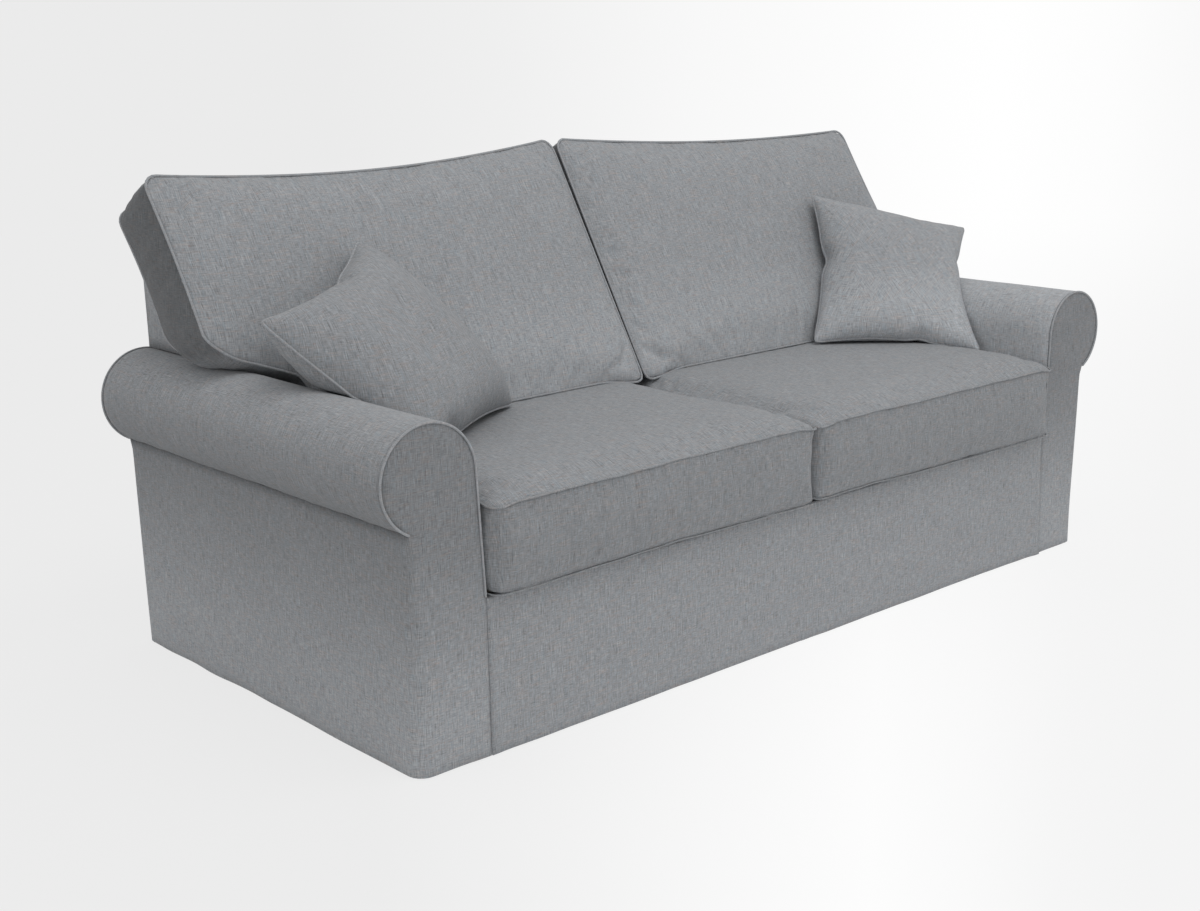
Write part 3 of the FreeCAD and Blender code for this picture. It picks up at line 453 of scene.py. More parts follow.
nodeFinish = {
    pine: [
        "arm_frame_left", "arm_frame_right", "front_rail", "rear_rail", "back_post_left",
        "back_post_right", "back_top_rail", "back_lower_rail", "back_centre_post",
    ],
    blackSteel: [
        "rail_corner_plates", "side_bracket_left", "side_bracket_right", "front_link_left",
        "front_link_right", "rear_link_left", "rear_link_right", "head_frame", "middle_frame",
        "foot_frame", "middle_legs", "foot_legs", "pull_handle",
    ],
    zinc: [
        "bracket_bolts", "bracket_studs", "head_studs", "front_hinge_pins", "rear_hinge_pins",
        "middle_leg_pins", "foot_leg_pins", "head_springs", "middle_springs", "foot_springs",
    ],
    blackPlastic: ["glides", "middle_leg_caps", "foot_leg_caps"],
    webbing: ["back_webbing"],
    deckCloth: ["head_deck", "middle_deck", "foot_deck"],
    foam: ["arm_padding_left", "arm_padding_right"],
}
for finish, names in nodeFinish.items():
    for name in names:
        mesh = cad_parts[name].data
        mesh.materials.clear()
        mesh.materials.append(finish)
print("finishes ready")


# mesh helpers

sewingSet = {
    "cloth": 0.0022,  # thickness of the cover
    "seamStep": 0.004,
    "cordStep": 0.009,
    "thinCordStep": 0.008,
    "reach": 0.02,  # how far from a seam the cloth is drawn to it, and how closely
    "grip": 0.9,
}


def meshOf(name, vertices, faces):
    mesh = bpy.data.meshes.new(name)
    mesh.from_pydata([tuple(v) for v in vertices], [], faces)
    mesh.update()
    return mesh


def dressed(name, mesh, finish, body="sofa_frame"):
    mesh.name = name
    piece = linked(name, mesh)
    mesh.materials.clear()
    mesh.materials.append(finish)
    mesh.shade_smooth()
    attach(piece, body)
    return piece


def gridFaces(rows, columns, closed=False, start=0):
    faces = []
    for r in range(rows - 1):
        for c in range(columns if closed else columns - 1):
            n = (c + 1) % columns
            a = start + r * columns
            faces.append((a + c, a + n, a + columns + n, a + columns + c))
    return faces


def joinedGrids(grids):  # each grid is its rows of points, and whether its faces are turned over
    vertices, faces = [], []
    for rows, turned in grids:
        made = gridFaces(len(rows), len(rows[0]), start=len(vertices))
        vertices += [p for row in rows for p in row]
        faces += [face[::-1] for face in made] if turned else made
    return vertices, faces


def loftMesh(rings):
    vertices = [p for ring in rings for p in ring]
    count = len(rings[0])
    faces = gridFaces(len(rings), count, closed=True)
    faces.append(tuple(range(count))[::-1])
    faces.append(tuple(range(len(vertices) - count, len(vertices))))
    return meshOf("form", vertices, faces)


def spread(low, high, count):
    return [low + (high - low) * i / (count - 1) for i in range(count)]


def onSide(points, side):  # as they are for side 1, mirrored for side -1
    return [Vector((side * p.x, p.y, p.z)) for p in points]


def mirrored(mesh, side):
    if side < 0:
        for v in mesh.vertices:
            v.co.x *= -1
        mesh.flip_normals()


def tube(name, path, radius, finish, body="sofa_frame", sides=8, closed=False):
    count = len(path)
    rings = []
    normal = None
    for i, p in enumerate(path):
        before = path[i - 1] if i or closed else p
        after = path[(i + 1) % count] if i < count - 1 or closed else p
        along = (after - before).normalized()
        if normal is None:
            normal = along.orthogonal().normalized()
        normal = (normal - along * normal.dot(along)).normalized()
        other = along.cross(normal)
        turns = [2 * math.pi * k / sides for k in range(sides)]
        rings.append([p + (normal * math.cos(turn) + other * math.sin(turn)) * radius for turn in turns])
    if not closed:
        return dressed(name, loftMesh(rings), finish, body)
    vertices = [v for ring in rings for v in ring]
    faces = gridFaces(count, sides, closed=True)
    last = (count - 1) * sides
    shift = min(range(sides), key=lambda k: (rings[-1][0] - rings[0][k]).length)
    for k in range(sides):
        faces.append((last + k, last + (k + 1) % sides, (k + 1 + shift) % sides, (k + shift) % sides))
    return dressed(name, meshOf(name, vertices, faces), finish, body)


def evenly(points, step, closed=False):
    run = points + points[:1] if closed else points
    out = []
    carry = 0.0
    for a, b in zip(run, run[1:]):
        length = (b - a).length
        at = carry
        while at < length:
            out.append(a.lerp(b, at / length))
            at += step
        carry = at - length
    if not closed:
        out.append(points[-1].copy())
    return out


def ripple(p, scale, seed):
    return noise.noise(Vector((p[0] * scale, p[1] * scale, p[2] * scale + seed * 17.3)))


def smoothStep(value, low, high):
    t = min(1.0, max(0.0, (value - low) / (high - low)))
    return t * t * (3 - 2 * t)


def clothSheet(name, grids, look):
    piece = dressed(name, meshOf(name, *joinedGrids(grids)), cloth[look])
    solid = piece.modifiers.new("thickness", "SOLIDIFY")
    solid.thickness = sewingSet["cloth"]
    solid.offset = -1
    return piece


# arms

armSet = {
    "inner": 0.843,
    "outer": 1.0,
    "rollX": 0.954,
    "rollZ": 0.531,
    "rollRadius": 0.099,
    "tuckZ": 0.3,
    "hem": 0.0022,
    "cornerHem": 0.030,
    "cornerNeck": 0.014,
    "piping": 0.0023,
    "pipingSink": 0.001,
    "gathers": 0.0014,  # height of the small gathers under the roll
    "hemWave": 0.006,
    "softWave": 0.0022,
    "rearGive": 0.3,  # share of the waves that the rear end has
    "lap": 0.0007,  # how far the cloth stands in front of the wood beside the panel
    "returns": (0.03, 0.015, 0.004),  # how far back the cloth turns in beside the panel, point by point
    "across": 12,  # points across the front and the rear
}
armLow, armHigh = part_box("arm_cover_right")
armFront, armRear = armLow.y, armHigh.y
neckZ = armSet["rollZ"] - math.sqrt(armSet["rollRadius"] ** 2 - (armSet["outer"] - armSet["rollX"]) ** 2)
shoulderX = armSet["rollX"] - armSet["rollRadius"]


def rollHalfWidth(z):
    return math.sqrt(max(0, armSet["rollRadius"] ** 2 - (z - armSet["rollZ"]) ** 2))


def armInnerX(z):
    if z <= armSet["tuckZ"]:
        return armSet["inner"]
    if z <= armSet["rollZ"]:
        share = (z - armSet["tuckZ"]) / (armSet["rollZ"] - armSet["tuckZ"])
        return armSet["inner"] + (shoulderX - armSet["inner"]) * share
    return armSet["rollX"] - rollHalfWidth(z)


def armOuterX(z):
    return armSet["outer"] if z <= neckZ else armSet["rollX"] + rollHalfWidth(z)


def skirtGive(p, outward, seed):  # how far the hanging cloth stands off its frame
    low = 1 - smoothStep(p.z, 0.03, 0.42)
    wave = armSet["hemWave"] * ripple((p.x, p.y, p.z * 0.35), 7, seed) * low
    soft = armSet["softWave"] * ripple(p, 4, seed + 3)
    near = math.exp(-max(0, neckZ - p.z) / 0.028)
    pucker = armSet["gathers"] * ripple((p.x, p.y, p.z * 0.2), 55, seed + 5) * near
    return outward * (wave + soft + pucker)


def roundCorner(centre, radius, start):
    made = []
    for turn in spread(start, start + math.pi / 2, 6)[1:-1]:
        way = Vector((math.cos(turn), math.sin(turn), 0))
        made.append((centre + way * radius, way))
    return made


def armPlan(z):  # points round the lower cover at height z, each with the way that it faces
    share = (z - armSet["hem"]) / (neckZ - armSet["hem"])
    radius = armSet["cornerHem"] + (armSet["cornerNeck"] - armSet["cornerHem"]) * share
    radius = radius * (1 - 0.9 * smoothStep(z, neckZ - 0.025, neckZ)) + 0.001
    inner, turnX = armInnerX(z), armSet["outer"] - radius
    frontY, rearY = armFront + radius, armRear - radius
    across = spread(inner, turnX, armSet["across"])
    plan = [(Vector((x, armFront, z)), Vector((0, -1, 0))) for x in across]
    plan += roundCorner(Vector((turnX, frontY, z)), radius, -math.pi / 2)
    plan += [(Vector((armSet["outer"], y, z)), Vector((1, 0, 0))) for y in spread(frontY, rearY, 74)]
    plan += roundCorner(Vector((turnX, rearY, z)), radius, 0)
    return plan + [(Vector((x, armRear, z)), Vector((0, 1, 0))) for x in across[::-1]]


def armSkirtRows(seed):  # the lower cover as one cloth, from the hem up
    rows = []
    for z in spread(armSet["hem"], neckZ, 23):
        inner = armInnerX(z)
        row = [Vector((inner - armSet["lap"], armFront + back, z)) for back in armSet["returns"]]
        for p, way in armPlan(z):
            give = skirtGive(p, way, seed)
            if way.y > 0.99:
                give *= armSet["rearGive"]
            elif way.y < -0.99 and give.y >= 0:
                give *= smoothStep(p.x, inner + 0.01, inner + 0.05)
            row.append(p + give)
        rows.append(row)
    return rows


def facingRows(seed, atRear):  # end of the arm above the neck
    y = armRear if atRear else armFront
    outward = 1 if atRear else -1
    rows = []
    top = armSet["rollZ"] + armSet["rollRadius"]
    for turn in spread(0, math.pi / 2, 20):
        z = neckZ + (top - 0.0004 - neckZ) * math.sin(turn)
        row = []
        low, high = armInnerX(z), armOuterX(z)
        for x in spread(low, high, armSet["across"]):
            dome = 0.003 * smoothStep(min(x - low, high - x, top - z), 0, 0.03)
            p = Vector((x, y, z))
            row.append(p + Vector((0, outward * (dome + 0.0012 * ripple(p, 9, seed)), 0)))
        rows.append(row)
    return rows


def rollArc(radius, count, y=0):  # round the roll from its inner side over the top to the neck
    end = math.atan2(neckZ - armSet["rollZ"], armSet["outer"] - armSet["rollX"])
    return [
        Vector((armSet["rollX"] + radius * math.cos(turn), y, armSet["rollZ"] + radius * math.sin(turn)))
        for turn in spread(math.pi, end, count)
    ]


def armProfile():  # from the tuck beside the seat round the roll to the neck
    tuck, top = armSet["tuckZ"], armSet["rollZ"]
    points = [Vector((armSet["inner"], 0, z)) for z in (tuck - 0.02, tuck)]
    points += [Vector((armInnerX(z), 0, z)) for z in spread(tuck, top, 10)[1:-1]]
    points += rollArc(armSet["rollRadius"], 34)
    return points + [Vector((armSet["outer"] - 0.01, 0, neckZ - 0.004))]


def rollRows(seed):
    profile = armProfile()
    centre = Vector((armSet["rollX"], 0, armSet["rollZ"]))
    rows = []
    for y in spread(armFront, armRear, 76):
        row = []
        ends = smoothStep(min(y - armFront, armRear - y), 0, 0.012)
        for k, p in enumerate(profile):
            outside = p.x > armSet["rollX"]
            radial = outside or p.z > armSet["rollZ"] - 0.06
            out = (p - centre).normalized() if radial else Vector((-1, 0, 0))
            here = Vector((p.x, y, p.z))
            near = math.exp(-abs(p.z - neckZ) / 0.03) if outside else 0
            gathers = armSet["gathers"] * ripple((p.x, y, p.z * 0.2), 60, seed) * near
            give = 0 if k == len(profile) - 1 else 0.0018 * ripple(here, 5, seed) + gathers
            row.append(here + out * (give - 0.0025 * (1 - ends)))
        rows.append(row)
    return rows


def weldClose(mesh, distance):
    work = bmesh.new()
    work.from_mesh(mesh)
    bmesh.ops.remove_doubles(work, verts=work.verts, dist=distance)
    work.to_mesh(mesh)
    work.free()
    mesh.shade_smooth()


def makeArm(side):
    name = "Right" if side > 0 else "Left"
    node = name.lower()
    seed = 1 if side > 0 else 4
    across, returns = armSet["across"], len(armSet["returns"])
    skirt, front, rear = armSkirtRows(seed), facingRows(seed, False), facingRows(seed, True)
    front[0] = skirt[-1][returns:returns + across]
    rear[0] = skirt[-1][-across:][::-1]
    grids = (skirt, front, rear, rollRows(seed))
    skirt, front, rear, roll = ([onSide(row, side) for row in rows] for rows in grids)
    # painted light and shade: the lower cover's linen darkens with height, the left roll's lightens with
    # height, and the right roll's is much lighter all over
    lower = clothSheet("armSkirt" + name, [(skirt, side < 0), (front, side < 0), (rear, side > 0)], "arm")
    weldClose(lower.data, 0.0002)
    upper = clothSheet("armRoll" + name, [(roll, side < 0)], "roll" + name)
    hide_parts("arm_cover_" + node, "arm_padding_" + node)
    for label, y in (("Front", armFront - 0.0012), ("Rear", armRear + 0.0002)):
        start = Vector((armSet["inner"] + 0.0015, y, armSet["tuckZ"]))
        arc = rollArc(armSet["rollRadius"] - armSet["pipingSink"], 44, y)
        path = onSide(evenly([start] + arc, sewingSet["thinCordStep"]), side)
        tube("armPiping" + label + name, path, armSet["piping"], cloth["piping"])


makeArm(1)
makeArm(-1)
print("arms made")


# front panel and outside back of the cover

panelSet = {
    "half": 0.8412,
    "hem": 0.0022,
    "topZ": 0.297,
    "fold": 0.004,
    "wave": 0.004,
    "flare": 0.006,
    "return": 0.03,
}
panelLow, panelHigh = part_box("front_panel_cover")


def panelRows():
    rows = []
    half, fold = panelSet["half"], panelSet["fold"]
    for z in spread(panelSet["hem"], panelSet["topZ"] - fold, 20):
        row = []
        low = 1 - smoothStep(z, 0.02, 0.26)
        for x in spread(-half, half, 130):
            give = panelSet["wave"] * ripple((x, 0, z * 0.4), 5, 9) * low
            give += 0.0016 * ripple((x, 0, z), 11, 12)
            end = smoothStep(abs(x), half - 0.05, half)
            give += panelSet["flare"] * end * low * (1 if x > 0 else 0.3)
            row.append(Vector((x, panelLow.y - max(0, give), z)))
        ends = [Vector((end.x, panelLow.y + panelSet["return"], z)) for end in (row[0], row[-1])]
        rows.append(ends[:1] + row + ends[1:])
    top = rows[-1]
    for turn in (30, 60, 90):
        a = math.radians(turn)
        shift = Vector((0, fold * (1 - math.cos(a)), fold * math.sin(a)))
        rows.append([p + shift for p in top])
    rows.append([Vector((p.x, panelHigh.y - 0.001, panelSet["topZ"] - 0.0015)) for p in top])
    return rows


panel = clothSheet("frontPanel", [(panelRows(), False)], "panel")
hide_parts("front_panel_cover")

backSet = {
    "half": 0.94,
    "lowHalf": 0.8405,
    "topZ": 0.853,
    "overArm": 0.631,
    "tail": 0.02,  # how far the hung cloth reaches up behind the shell
    "wave": 0.004,
    "footZ": 0.437,
    "footRestZ": 0.466,  # below this the foot hangs straight
    "frameTop": (0.120, 0.850),  # how far in front of the rear, and how high, the frame's lean ends
    "lean": math.radians(30.3),
    "round": 0.012,
}
backLow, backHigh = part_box("back_cover")


def backFrontY(z):
    inward, top = backSet["frameTop"]
    return backHigh.y - inward - (top - z) * math.tan(backSet["lean"])


def backSideOutline():  # from the front foot up, over and down
    r, top, bottom = backSet["round"], backSet["topZ"], backSet["overArm"]
    front = [Vector((0, backFrontY(z), z)) for z in spread(bottom, top - r, 9)]
    over = [Vector((0, y, top)) for y in spread(backFrontY(top) + r, backHigh.y - r, 5)]
    return front + over + [Vector((0, backHigh.y, z)) for z in spread(top - r, bottom, 9)]


def backShell():  # what stands over the arms, with both its ends closed
    r, half, bottom = backSet["round"], backSet["half"], backSet["overArm"]
    over = backSideOutline()
    rows = [[Vector((x, p.y, p.z)) for p in over] for x in spread(-half + r, half - r, 60)]
    for turn in (30, 60, 90):
        a = math.radians(turn)
        inset = []
        for p in over:
            middle = Vector((0, (backFrontY(p.z) + backHigh.y) / 2, (p.z + bottom) / 2))
            toward = Vector((0, middle.y - p.y, middle.z - p.z)).normalized()
            inset.append(Vector((half - r + r * math.sin(a), p.y, p.z)) + toward * (r * (1 - math.cos(a))))
        rows.append(inset)
        rows.insert(0, onSide(inset, -1))
    grids = [(rows, False)]
    for rim, turned in ((rows[-1], True), (rows[0], False)):
        pairs = list(zip(rim, rim[::-1]))[: len(rim) // 2 + 1]
        grids.append(([[a.lerp(b, k / 6) for k in range(7)] for a, b in pairs], turned))
    return grids


def backTail():  # hung down the rear
    rows = []
    for z in spread(backLow.z, backSet["overArm"] + backSet["tail"], 22):
        low = 1 - smoothStep(z, 0.02, 0.5)
        row = []
        for x in spread(-backSet["lowHalf"], backSet["lowHalf"], 70):
            wave = backSet["wave"] * ripple((x, 0, z * 0.4), 5, 21) * low
            row.append(Vector((x, backHigh.y + min(0.002, wave) - 0.002, z)))
        rows.append(row)
    return rows


def backFoot():  # down in front, between the rolls of the arms
    rows = []
    for z in spread(backSet["footZ"], backSet["overArm"] + backSet["tail"], 8):
        y = max(backFrontY(z), backFrontY(backSet["footRestZ"]))
        wide = min(armInnerX(z) + 0.004, backSet["half"])
        rows.append([Vector((x, y, z)) for x in spread(-wide, wide, 40)])
    return rows


outsideBack = clothSheet("outsideBack", backShell() + [(backTail(), True), (backFoot(), False)], "panel")
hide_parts("back_cover")
print("cover made")


# cushions


def remeshed(mesh, voxel):
    form = linked("form", mesh)
    cells = form.modifiers.new("cells", "REMESH")
    cells.mode = "VOXEL"
    cells.voxel_size = voxel
    view = bpy.context.evaluated_depsgraph_get()
    made = bpy.data.meshes.new_from_object(form.evaluated_get(view))
    bpy.data.objects.remove(form)
    return made


def seamTree(seams):
    tree = KDTree(len(seams))
    for i, p in enumerate(seams):
        tree.insert(p, i)
    tree.balance()
    return tree


def inflated(mesh, seams, puff):  # cloth blown up from inside, held at its seams
    form = linked("form", mesh)
    rest = [v.co.copy() for v in mesh.vertices]
    tree = seamTree(seams)
    held = form.vertex_groups.new(name="seams")
    held.add([v.index for v in mesh.vertices if tree.find(v.co)[2] < puff["hold"]], 1.0, "REPLACE")
    blow = form.modifiers.new("cloth", "CLOTH")
    physics = {
        "quality": 5,
        "mass": 0.25,
        "tension_stiffness": puff["stiff"],
        "compression_stiffness": puff["stiff"],
        "shear_stiffness": puff["stiff"] / 2,
        "bending_stiffness": puff["bend"],
        "vertex_group_mass": "seams",
        "pin_stiffness": 1,
        "use_pressure": True,
        "uniform_pressure_force": puff["pressure"],
        "shrink_min": -puff["slack"],
    }
    for key, value in physics.items():
        setattr(blow.settings, key, value)
    blow.settings.effector_weights.gravity = 0
    blow.collision_settings.use_collision = False
    blow.point_cache.frame_start = 1
    blow.point_cache.frame_end = puff["frames"]
    for moment in range(1, puff["frames"] + 1):
        scene.frame_set(moment)
    view = bpy.context.evaluated_depsgraph_get()
    blown = [v.co.copy() for v in form.evaluated_get(view).data.vertices]
    scene.frame_set(1)
    bpy.data.objects.remove(form)
    for v, before, after in zip(mesh.vertices, rest, blown):
        move = after - before
        if move.length > puff["cap"]:
            move = move.normalized() * puff["cap"] * (1 + 0.12 * math.log(move.length / puff["cap"]))
        v.co = before + move


def drawToSeams(mesh, seams):  # so that each seam reads as a crease
    tree = seamTree(seams)
    reach, grip = sewingSet["reach"], sewingSet["grip"]
    for v in mesh.vertices:
        spot, _, distance = tree.find(v.co)
        if distance < reach:
            v.co = v.co.lerp(spot, grip * (1 - distance / reach) ** 2)


def smoothed(mesh, rounds=2):
    work = bmesh.new()
    work.from_mesh(mesh)
    axes = {"use_axis_x": True, "use_axis_y": True, "use_axis_z": True}
    for _ in range(rounds):
        bmesh.ops.smooth_vert(work, verts=work.verts, factor=0.5, **axes)
    work.to_mesh(mesh)
    work.free()


def stuffed(rings, seamRings, settings):  # a closed form through the rings, blown up between its seams
    mesh = remeshed(loftMesh(rings), settings["voxel"])
    smoothed(mesh)
    seams = [p for ring in seamRings for p in evenly(ring, sewingSet["seamStep"], closed=True)]
    inflated(mesh, seams, settings["puff"])
    drawToSeams(mesh, seams)
    return mesh


def padPiece(name, mesh, finish, body, nodes):
    piece = dressed(name, mesh, finish, body)
    finer = piece.modifiers.new("finer", "SUBSURF")
    finer.levels = finer.render_levels = 1
    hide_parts(*nodes)


def eased(value, start, room):  # past start, it closes in on start + room
    return value if value <= start else start + room * (1 - math.exp((start - value) / room))


seatSet = {
    "topSeam": 0.467,
    "lowSeam": 0.309,
    "lowDroop": 0.007,
    "crown": 0.0315,  # rise of the top above its seam, and how far in it takes
    "crownReach": 0.15,
    "crownInsets": (0.014, 0.03, 0.06, 0.1, 0.15),
    "easeFrom": 0.488,
    "cornerDroop": 0.006,
    "corner": 0.026,
    "innerCorner": 0.012,
    "draw": 0.004,
    "wave": 0.004,
    "wrinkle": 0.0022,
    "count": 240,
    "voxel": 0.0095,
    "puff": {
        "hold": 0.008, "stiff": 12, "bend": 0.4, "pressure": 3.5, "slack": 0.02, "frames": 16, "cap": 0.014,
    },
    "welt": 0.0021,
    "lowWelt": 0.0015,
}
seatLow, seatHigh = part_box("seat_cushion_right")


def seatRise(inset):
    reach = seatSet["crownReach"]
    return seatSet["crown"] * (1 - (1 - min(max(inset, 0), reach) / reach) ** 2.4)


def roundedRing(x0, x1, y0, y1, z):
    points = []
    corner, r = seatSet["corner"], seatSet["innerCorner"]
    spots = (
        (x1 - corner, y0 + corner, -90, corner),
        (x1 - corner, y1 - corner, 0, corner),
        (x0 + r, y1 - r, 90, r),
        (x0 + r, y0 + r, 180, r),
    )
    for x, y, start, radius in spots:
        for turn in spread(start + 15, start + 75, 6):
            a = math.radians(turn)
            points.append(Vector((x + radius * math.cos(a), y + radius * math.sin(a), z)))
    even = evenly(points, 0.012, closed=True)
    halfX, halfY = (x1 - x0) / 2, (y1 - y0) / 2
    middleX, middleY = (x0 + x1) / 2, (y0 + y1) / 2
    for p in even:
        u, v = (p.x - middleX) / halfX, (p.y - middleY) / halfY
        if abs(v) > 0.98:
            p.y -= math.copysign(seatSet["draw"] * max(0, 1 - u * u), v)
        if abs(u) > 0.98:
            p.x -= math.copysign(seatSet["draw"] * max(0, 1 - v * v), u)
    return even


def ringOf(points, count):
    total = sum((b - a).length for a, b in zip(points, points[1:] + points[:1]))
    return evenly(points, total / count * 0.999999, closed=True)[:count]


def makeSeat(side):
    name = "Right" if side > 0 else "Left"
    node = name.lower()
    seed = 2 if side > 0 else 6
    s = seatSet
    low, high = seatLow, seatHigh
    x0, x1, y0, y1 = low.x - 0.0008, high.x + 0.002, low.y + 0.001, high.y - 0.001
    middleX, middleY = (x0 + x1) / 2, (y0 + y1) / 2

    def ring(z, inset, wave):
        made = ringOf(roundedRing(x0 + inset, x1 - inset, y0 + inset, y1 - inset, z), s["count"])
        for p in made:
            p.z += wave * ripple((p.x, p.y, 0), 4.5, seed)
            p.z += wave * 0.5 * ripple((p.x, p.y, 0), 14, seed + 1)
        return made

    def outward(p):
        return Vector((p.x - middleX, p.y - middleY, 0)).normalized()

    topRing = ring(s["topSeam"], 0, s["wave"])
    for p in topRing:
        corner = max(0, 0.05 - (p.y - y0)) / 0.05 * max(0, 0.06 - min(p.x - x0, x1 - p.x)) / 0.06
        p.z -= s["cornerDroop"] * min(1, corner * 1.5)
    lowRing = ring(s["lowSeam"], 0.002, s["wave"])
    for p in lowRing:
        front = 1 - smoothStep(p.y, y0 + 0.02, y0 + 0.1)
        p.z -= s["lowDroop"] * (0.5 + ripple((p.x, p.y, 0), 3.1, seed + 3)) * front
    rings = [ring(low.z + 0.003, 0.022, 0), ring(low.z + 0.006, 0.008, 0.001), lowRing]
    for share in (0.25, 0.5, 0.75):
        middle = [a.lerp(b, share) for a, b in zip(lowRing, topRing)]
        rings.append([p - outward(p) * s["draw"] * math.sin(share * math.pi) for p in middle])
    rings.append(topRing)
    rings += [ring(s["topSeam"] + seatRise(inset), inset, 0.0015) for inset in s["crownInsets"]]
    mesh = stuffed(rings, (topRing, lowRing), s)
    for v in mesh.vertices:
        p = v.co
        box = smoothStep(s["topSeam"] - p.z, 0, 0.02) * smoothStep(p.z - s["lowSeam"], 0, 0.02)
        p += outward(p) * s["wrinkle"] * ripple((p.x, p.y, p.z * 0.25), 26, seed) * box
        top = smoothStep(p.z, s["topSeam"], s["topSeam"] + 0.02)
        p.z += s["wrinkle"] * ripple((p.x, p.y, 0), 9, seed + 2) * top
        p.x = min(max(p.x, x0 - 0.0008), x1 + 0.002)
        p.y = min(max(p.y, y0 - 0.012), y1 + 0.004)
        lift = smoothStep(p.y, y0 + 0.015, y0 + 0.035)
        p.z = max(p.z, low.z + 0.0008 - 0.006 * (1 - lift))
        p.z = eased(p.z, s["easeFrom"], high.z - 0.0002 - s["easeFrom"])
    mirrored(mesh, side)
    body = "seat_" + node
    replaced = ["seat_cushion_" + node, "seat_core_" + node]
    padPiece("seatCushion" + name, mesh, cloth["seat"], body, replaced)
    # painted shade: the cushion's sides and front, and its lower welt, take a darker linen
    mesh.materials.append(cloth["boxing"])
    for face in mesh.polygons:
        if abs(face.normal.z) < 0.55 and face.center.z < s["topSeam"] - 0.002:
            face.material_index = 1
    cords = (("Top", topRing, "welt", "seat"), ("Low", lowRing, "lowWelt", "boxing"))
    for label, path, size, look in cords:
        run = evenly(onSide(path, side), sewingSet["cordStep"], closed=True)
        tube("seatWelt" + label + name, run, s[size], cloth[look], body, sides=6, closed=True)


makeSeat(1)
makeSeat(-1)
print("seat cushions made")

backCushionSet = {
    "depth": 0.157,
    "slope": 0.159,  # depth of the solid that it replaces, square to its lean
    "lean": math.radians(30.3),
    "restZ": 0.484,
    "topZ": 1.012,
    "dip": {"left": 0.027, "right": 0.016},
    "outer": 1.017,
    "shoulder": {"left": (1.03, 0.999), "right": (1.0, 0.984)},  # x and z of the outer top corner
    "inner": 0.0075,
    "footInner": 0.004,
    "topRound": 0.024,
    # the front seam under the wing, from its tip in to the pocket by the arm
    "wing": ((1.0135, 0.700), (0.973, 0.664), (0.92, 0.643), (0.863, 0.621), (0.843, 0.606)),
    "footOuter": 0.823,
    "footZ": 0.5008,
    "footDroop": 0.012,
    "footRound": 0.016,
    "belly": 0.04,  # how far the boxing hangs below the seams over the arm
    "count": 360,
    "voxel": 0.0095,
    "puff": {
        "hold": 0.008, "stiff": 12, "bend": 0.5, "pressure": 3.0, "slack": 0.02, "frames": 16, "cap": 0.02,
    },
    "piping": 0.0027,
    "easeFrom": 0.016,  # where the crown of the front stops short of its limit, and the room left to it
    "easeRoom": 0.0098,
    "frontSeam": (0.004, 0),  # depth of each seam, and the share of the belly that it has
    "rearSeam": (0.149, 0.6),
    "rearSink": 0.0018,  # how far in from its seam the rear cord runs
}
restRise = (backSet["frameTop"][1] - backCushionSet["restZ"]) * math.tan(backCushionSet["lean"])
restY = cadHigh.y - backSet["frameTop"][0] - restRise
restY -= backCushionSet["slope"] / math.cos(backCushionSet["lean"])
leanUp = Vector((0, math.sin(backCushionSet["lean"]), math.cos(backCushionSet["lean"])))
leanRear = Vector((0, math.cos(backCushionSet["lean"]), -math.sin(backCushionSet["lean"])))


def onLean(x, along, depth):
    return Vector((x, restY, backCushionSet["restZ"])) + leanUp * along + leanRear * depth


def depthOf(p):  # how far behind the leaning front plane a point is
    return (p - onLean(0, 0, 0)).dot(leanRear)


def alongAt(z, depth):  # how far up the leaning plane a point depth behind it lies at height z
    s = backCushionSet
    return (z - s["restZ"] + depth * math.sin(s["lean"])) / math.cos(s["lean"])


def curved(points, steps=5):  # smooth open curve through points
    out = []
    chain = [points[0] * 2 - points[1]] + points + [points[-1] * 2 - points[-2]]
    for a, b, c, d in zip(chain, chain[1:], chain[2:], chain[3:]):
        for k in range(steps):
            t = k / steps
            bend = (2 * a - 5 * b + 4 * c - d) * t * t + (3 * b - a - 3 * c + d) * t * t * t
            out.append((2 * b + (c - a) * t + bend) / 2)
    return out + [points[-1]]


def rollTopZ(x):  # height of the arm's roll under x
    off = min(abs(x - armSet["rollX"]), armSet["rollRadius"])
    return armSet["rollZ"] + math.sqrt(armSet["rollRadius"] ** 2 - off * off)


